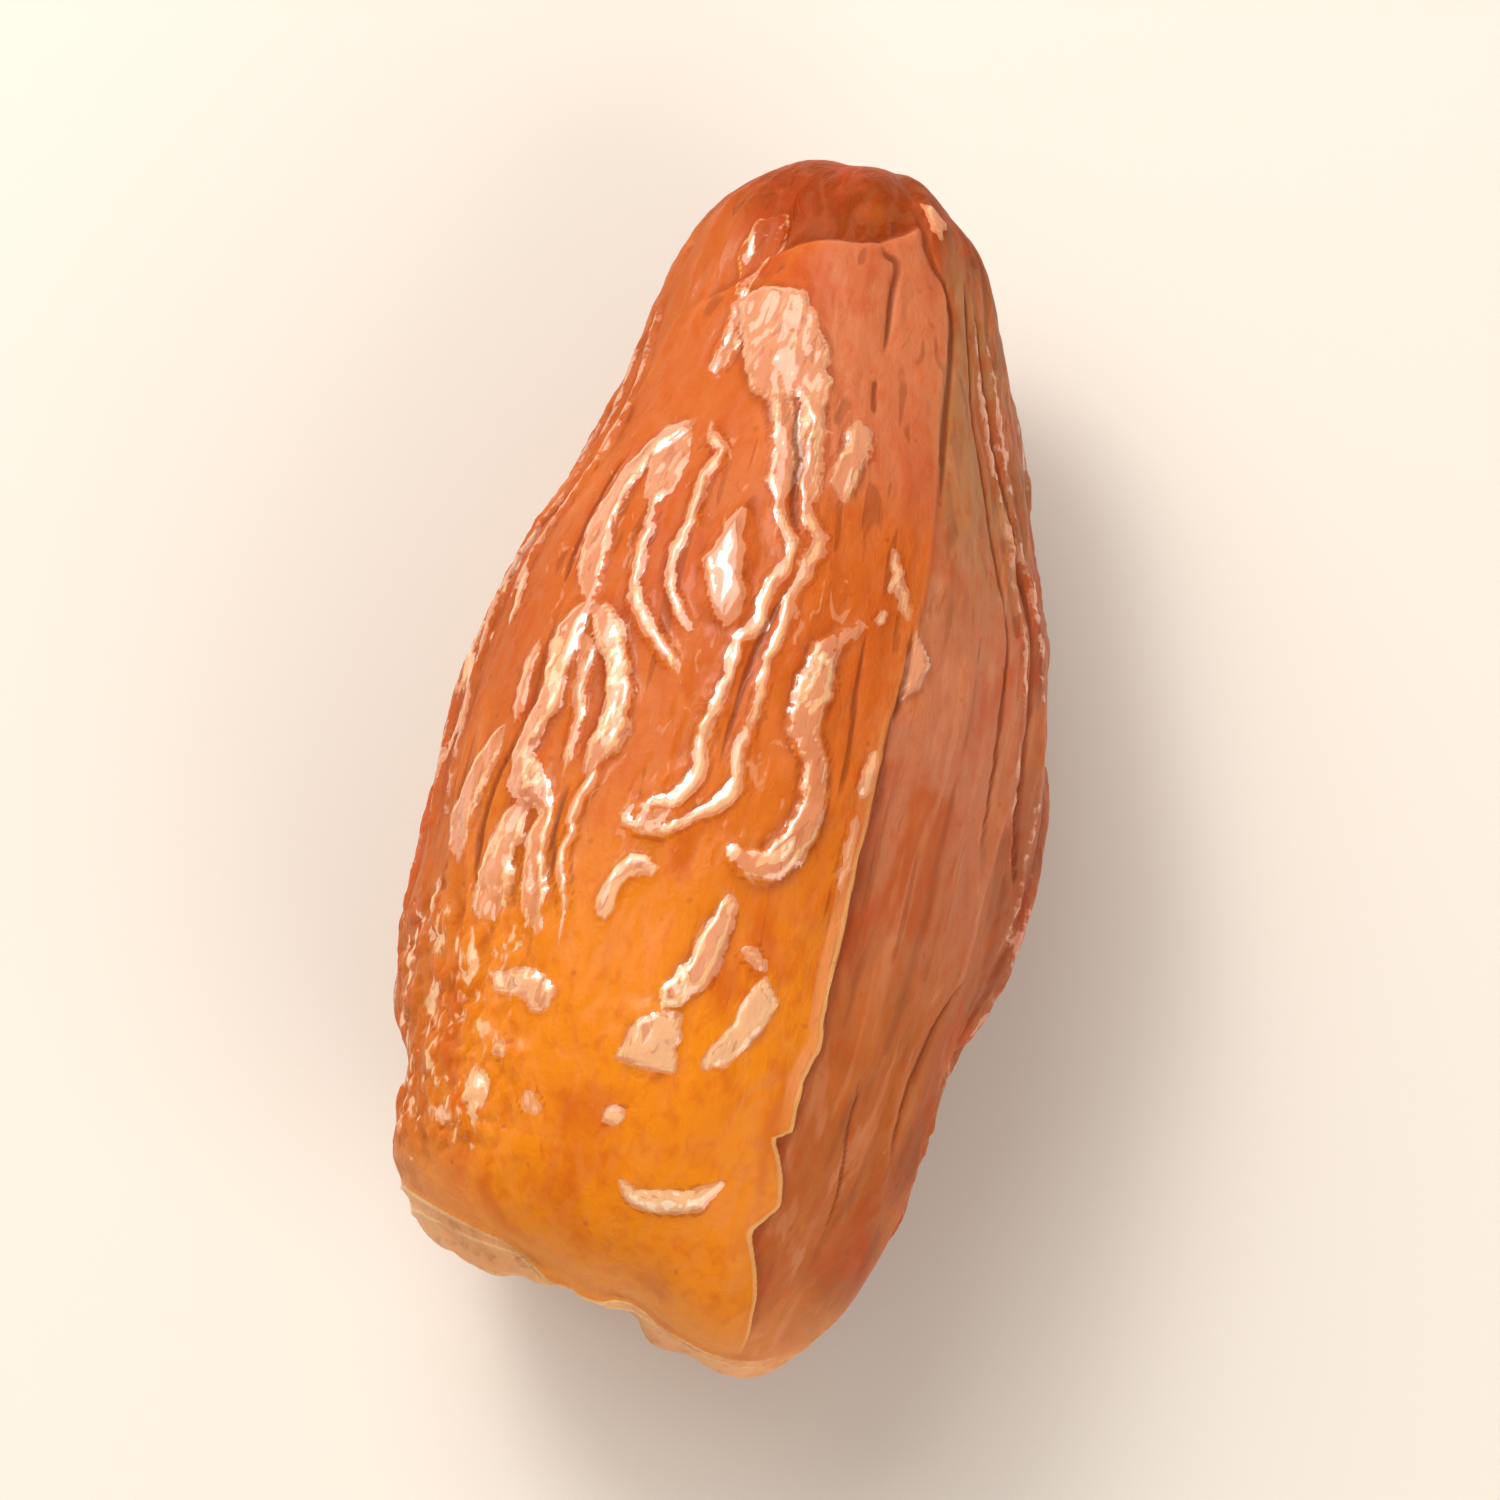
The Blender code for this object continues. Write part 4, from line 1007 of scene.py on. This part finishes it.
def skinMasks(tree, field, pattern):
    # the mask of every layer by name, and the layers with their colours from the bottom up

    # borders that waver: a place plus patterns, each times its weight
    sums = {}
    for name, total, *terms in (
        ("along", field["along"], ("mottle", 14)),
        ("crest", field["paleCrest"], ("comb", 0.7), ("blotch", 0.5), ("strand", 1.2)),
        ("patch", field["patch"], ("blotch", 0.8)),
        ("footShade", field["crestFoot"], ("strand", 0.6)),
    ):
        for source, weight in terms:
            total = addNode(tree, "ShaderNodeMath", {
                0: pattern[source], 1: weight, 2: total,
            }, operation="MULTIPLY_ADD")
        sums[name] = total

    # patterns that show in some places only
    local = {}
    for name, total, *others in (
        ("rim", pattern["strand"], field["crestRim"]),
        ("knob", pattern["clump"], field["damp"], pattern["crumb"]),
        ("crumb", pattern["crumb"], field["worn"]),
    ):
        for other in others:
            total = addNode(tree, "ShaderNodeMath", {0: total, 1: other}, operation="MULTIPLY")
        local[name] = total

    # distances from the lines along the seam and the stem end
    sides = {}
    for name, source, shift in (
        ("seam", "seamAway", seamForm["lipBack"]), ("band", "seamAway", 0.3),
        ("seamDark", "seamAway", -0.06), ("ring", "ringOut", 0),
        ("dry", "dryEdge", 0), ("dryInner", "dryEdge", -stemForm["dryLines"][1][0]),
    ):
        moved = addNode(tree, "ShaderNodeMath", {0: field[source], 1: shift}, operation="ADD")
        sides[name] = addNode(tree, "ShaderNodeMath", {0: moved}, operation="ABSOLUTE")
    dryLines = addNode(tree, "ShaderNodeMath", {0: sides["dry"], 1: sides["dryInner"]}, operation="MINIMUM")

    # a layer's mask and colour, what it is read from, where it starts and is full, and its share there
    layers = (
        ("stemward", "stem", sums["along"], 9, -5, 1),
        # the smooth skin below the cap: its own salmon and a painted dull reflection
        ("facet", "facet", field["facet"], 0, 1, 0.85),
        # painted shade: both sides darkened towards their edges
        ("side", "side", field["aside"], 36, 74, 0.8),
        ("loose", "looseSide", field["seamAway"], -0.04, 0.12, 1),
        ("looseTan", "looseTan", sums["along"], 8, 18, 0.75),
        ("looseLow", "looseLow", sums["along"], 6, -4, 1),
        ("patch", "patch", sums["patch"], 0.85, 1.25, 0.7),
        ("looseEdge", "looseEdge", field["aside"], 62, 84, 0.7),
        ("streak", "streak", pattern["streak"], 0.52, 0.66, 0.55),
        ("paleStreak", "crest", pattern["streak"], 0.44, 0.34, 0.3),
        # the tip's own deep orange, partly painted shade
        ("cap", "cap", field["cap"], 0.1, 0.9, 1),
        ("under", "under", field["aside"], 96, 150, 0.7),
        ("red", "red", pattern["blotch"], 0.5, 0.7, 0.5),
        ("light", "light", pattern["blotch"], 0.46, 0.3, 0.22),
        ("fleck", "fleck", pattern["fleck"], 0.46, 0.74, 0.34),
        ("stemRim", "stemRim", field["dryEdge"], -3.4, -0.3, 0.42),
        # painted shade: darker where the relief lies below the relief round it
        ("cavity", "valley", field["cavity"], 0.01, 0.06, 0.4),
        ("ripple", "crest", field["ripple"], 0.2, 1, 0.07),
        # painted shade: a thin dark line beside each crest's base
        ("footShade", "footShade", sums["footShade"], 0.72, 0.92, 0.3),
        # painted highlight: small pale glints between the crests
        ("crumb", "crest", local["crumb"], 0.62, 0.7, 0.5),
        # painted highlight: pale glints round the knobs
        ("damp", "crest", local["knob"], 0.26, 0.31, 0.5),
        ("hairline", "hairline", pattern["hairline"], 0.66, 0.72, 0.4),
        # dry crest skin and painted highlight on the folds
        ("softCrest", "crest", sums["crest"], 1.64, 1.82, 1),
        # the palest crests turned towards cream: dry skin and painted highlight
        ("driest", "crestRim", field["paleCrest"], 1.7, 2.1, 0.5),
        ("crestLine", "crestLine", pattern["strand"], 0.58, 0.66, 0.45),
        # painted highlight: cream rims of the crests
        ("crestRim", "crestRim", local["rim"], 0.28, 0.5, 0.6),
        # painted highlight: white glints where the rims are strongest
        ("glintCore", "glintCore", local["rim"], 0.8, 1.05, 0.75),
        # painted highlight: cream glints on the knobs
        ("speck", "crestRim", local["knob"], 0.3, 0.34, 0.6),
        ("lipBand", "lipBand", sides["band"], 0.36, 0.18, 0.62),
        # painted shadow: a thin dark line just past the seam's step
        ("seamDark", "hairline", sides["seamDark"], 0.1, 0.02, 0.55),
        ("lip", "lip", sides["seam"], 0.15, 0.05, 0.85),
        # dried skin at the stem end, its tan lightened as painted light
        ("dryEdge", "dryEdge", field["dryEdge"], -0.1, 0.1, 0.85),
        ("scarShade", "streak", field["scarOut"], 5.4, 1.8, 0.62),
        ("dryMottle", "looseLow", pattern["blotch"], 0.46, 0.62, 0.24),
        ("dryFleck", "streak", pattern["fleck"], 0.52, 0.68, 0.3),
        # painted shade: darker in the grooves between the stem end's puckers
        ("pucker", "under", field["pucker"], 0.05, 0.5, 0.32),
        ("ringLine", "dryLine", sides["ring"], 0.2, 0.05, 0.25),
        ("dryLine", "dryLine", dryLines, 0.12, 0.04, 0.8),
        # painted shade: darker in the thin creases
        ("crease", "hairline", field["crease"], 0.3, 0.8, 0.6),
        ("scar", "scar", field["scarOut"], 2.1, 1.3, 0.8),
        ("pore", "pore", pattern["pore"], 0.12, 0.05, 0.24),
    )
    helpers = (               # masks without a colour, which others are made from
        ("crest", None, sums["crest"], 1.64, 1.82, 1),
        ("varied", None, pattern["blotch"], 0.34, 0.62, 0.35),
        ("opaque", None, field["paleCrest"], 1.05, 1.6, 0.4),
        ("wetKnob", None, local["knob"], 0.3, 0.34, 0.8),
        ("bandLow", None, field["along"], -13.5, -11.5, 1),
        ("broken", None, pattern["blotch"], 0.72, 0.5, 1),
        ("drySoft", None, field["dryEdge"], -0.7, 0.9, 0.78),
    )
    masks = {}
    for name, _, source, low, high, share in (*layers, *helpers):
        masks[name] = addNode(tree, "ShaderNodeMapRange", {
            "Value": source, "From Min": low, "From Max": high, "To Max": share,
        }, interpolation_type="SMOOTHSTEP")
    masks["dryEdge"] = addNode(tree, "ShaderNodeMix", {
        0: field["lineShown"], 2: masks["drySoft"], 3: masks["dryEdge"],
    }, data_type="FLOAT")
    lowSeam = addNode(tree, "ShaderNodeMapRange", {
        "Value": field["along"], "From Min": -2, "From Max": -7, "To Min": 0.35,
    })
    calmEnd = addNode(tree, "ShaderNodeMapRange", {
        "Value": field["along"], "From Min": -7, "From Max": -13, "To Min": 1, "To Max": 0,
    })

    # a crest is a little see-through, less where it is driest
    opaque = addNode(tree, "ShaderNodeMath", {0: masks["opaque"], 1: masks["varied"]}, operation="ADD")
    opaque = addNode(tree, "ShaderNodeMath", {0: opaque, 1: skinLook["crestOpaque"]}, operation="ADD")

    # each of these shows only where the other thing is
    for other, names in (
        (opaque, "softCrest"),
        (field["stemEnd"], "scar scarShade dryEdge stemRim dryLine ringLine dryMottle dryFleck"),
        (masks["dryEdge"], "scarShade dryMottle dryFleck"),
        (masks["broken"], "dryLine ringLine"),
        (field["lineShown"], "dryLine ringLine"),
        (field["seamStrength"], "lip lipBand seamDark"),
        (lowSeam, "lip lipBand"),
        (masks["bandLow"], "lipBand"),
        (calmEnd, "hairline"),
        (masks["crest"], "crestLine driest"),
        (masks["loose"], "looseTan looseLow looseEdge patch streak paleStreak"),
    ):
        for name in names.split():
            masks[name] = addNode(tree, "ShaderNodeMath", {0: masks[name], 1: other}, operation="MULTIPLY")
    return masks, [row[:2] for row in layers]


def dateSkinMaterial():
    made = bpy.data.materials.new("waxySunDriedDateSkin")
    made.use_nodes = True
    tree = made.node_tree
    shader = tree.nodes["Principled BSDF"]
    field, pattern = skinSources(tree)
    masks, layers = skinMasks(tree, field, pattern)
    colour = linear(skinLook["middle"])
    for name, shade in layers:
        colour = addNode(tree, "ShaderNodeMix", {
            0: masks[name], 6: colour, 7: linear(skinLook[shade]),
        }, data_type="RGBA").outputs[2]

    # duller between the crests, dullest on the loose side and at the stem end
    low, high = skinLook["roughness"]
    rough = addNode(tree, "ShaderNodeMapRange", {"Value": masks["crest"], "To Min": low, "To Max": high})
    for name, more in (("red", 0.12), ("loose", 0.05), ("dryEdge", 0.12)):
        duller = {0: masks[name], 1: more, 2: rough}
        rough = addNode(tree, "ShaderNodeMath", duller, operation="MULTIPLY_ADD")
    low, high = skinLook["coat"]
    wet = addNode(tree, "ShaderNodeMath", {0: masks["crest"], 1: masks["wetKnob"]}, operation="MAXIMUM")
    coat = addNode(tree, "ShaderNodeMapRange", {"Value": wet, "To Min": low, "To Max": high})
    dull = addNode(tree, "ShaderNodeMath", {0: 1, 1: masks["cap"]}, operation="SUBTRACT")
    coat = addNode(tree, "ShaderNodeMath", {0: coat, 1: dull}, operation="MULTIPLY")

    # relief too fine for the mesh, in tenths of a millimetre
    combed = addNode(tree, "ShaderNodeMath", {0: pattern["comb"], 1: masks["crest"]}, operation="MULTIPLY")
    height = addNode(tree, "ShaderNodeMath", {0: pattern["crease"], 1: 1.1}, operation="MULTIPLY")
    for source, much in (
        (pattern["grain"], 0.3), (pattern["fleck"], 0.4), (combed, 0.35), (masks["crest"], 0.5),
        (masks["crestRim"], 0.5), (masks["crestLine"], -0.6), (masks["lip"], 0.6), (masks["pore"], -0.6),
        (masks["dryEdge"], 0.5), (masks["hairline"], -0.9), (masks["wetKnob"], 0.5), (masks["crumb"], 0.5),
    ):
        height = addNode(tree, "ShaderNodeMath", {0: source, 1: much, 2: height}, operation="MULTIPLY_ADD")
    strength, reach = skinLook["bump"]
    bump = addNode(tree, "ShaderNodeBump", {"Height": height, "Strength": strength, "Distance": reach})

    tree.links.new(colour, shader.inputs["Base Color"])
    for source, socket in ((rough, "Roughness"), (coat, "Coat Weight"), (bump, "Normal")):
        tree.links.new(source.outputs[0], shader.inputs[socket])
    for name, value in skinLook["sockets"].items():
        shader.inputs[name].default_value = value
    return made


dateSkinMaterial()
applyNodes(dateSkin, fineReliefTree(), fineRelief)
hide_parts("date")
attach(dateSkin, "root")
print("skin finished,", sum(len(face.vertices) - 2 for face in dateSkin.data.polygons), "triangles")


# Floor, light and world
stageSet = {
    "floorColour": "#e6e3de",
    "lightColour": "#fff6ec",
    "worldColour": "#fff3e6",
    "worldStrength": 0.4,
    "lights": (               # name, power, size and place
        ("keyLight", 0.95, (0.34, 0.30), (-0.18, 0.155, 0.255)),
        ("keyCentre", 0.4, (0.1, 0.09), (-0.175, 0.15, 0.25)),    # the brighter middle of the key's softbox
        ("fillLight", 0.75, (0.3, 0.3), (0.26, -0.20, 0.22)),
    ),
}


def makeFloor():
    mesh = bpy.data.meshes.new("floor")
    reach = 0.6
    corners = [(-reach, -reach, 0), (reach, -reach, 0), (reach, reach, 0), (-reach, reach, 0)]
    mesh.from_pydata(corners, [], [(0, 1, 2, 3)])
    made = bpy.data.materials.new("paperFloor")
    made.use_nodes = True
    shader = made.node_tree.nodes["Principled BSDF"]
    shader.inputs["Base Color"].default_value = linear(stageSet["floorColour"])
    shader.inputs["Roughness"].default_value = 0.9
    shader.inputs["Specular IOR Level"].default_value = 0.2
    mesh.materials.append(made)
    floor = bpy.data.objects.new("floor", mesh)
    collection.objects.link(floor)


def addSoftLight(name, power, size, at):
    data = bpy.data.lights.new(name, "AREA")
    data.shape = "RECTANGLE"
    data.size, data.size_y = size
    data.energy = power
    data.color = linear(stageSet["lightColour"])[:3]
    light = bpy.data.objects.new(name, data)
    light.location = at
    light.rotation_euler = (Vector(at) - middle).to_track_quat("Z", "Y").to_euler()
    collection.objects.link(light)


makeFloor()
for light in stageSet["lights"]:
    addSoftLight(*light)
world = bpy.data.worlds.new("world")
world.use_nodes = True
world.node_tree.nodes["Background"].inputs["Color"].default_value = linear(stageSet["worldColour"])
world.node_tree.nodes["Background"].inputs["Strength"].default_value = stageSet["worldStrength"]
bpy.context.scene.world = world
bpy.context.scene.view_settings.view_transform = "Standard"
print("stage set")
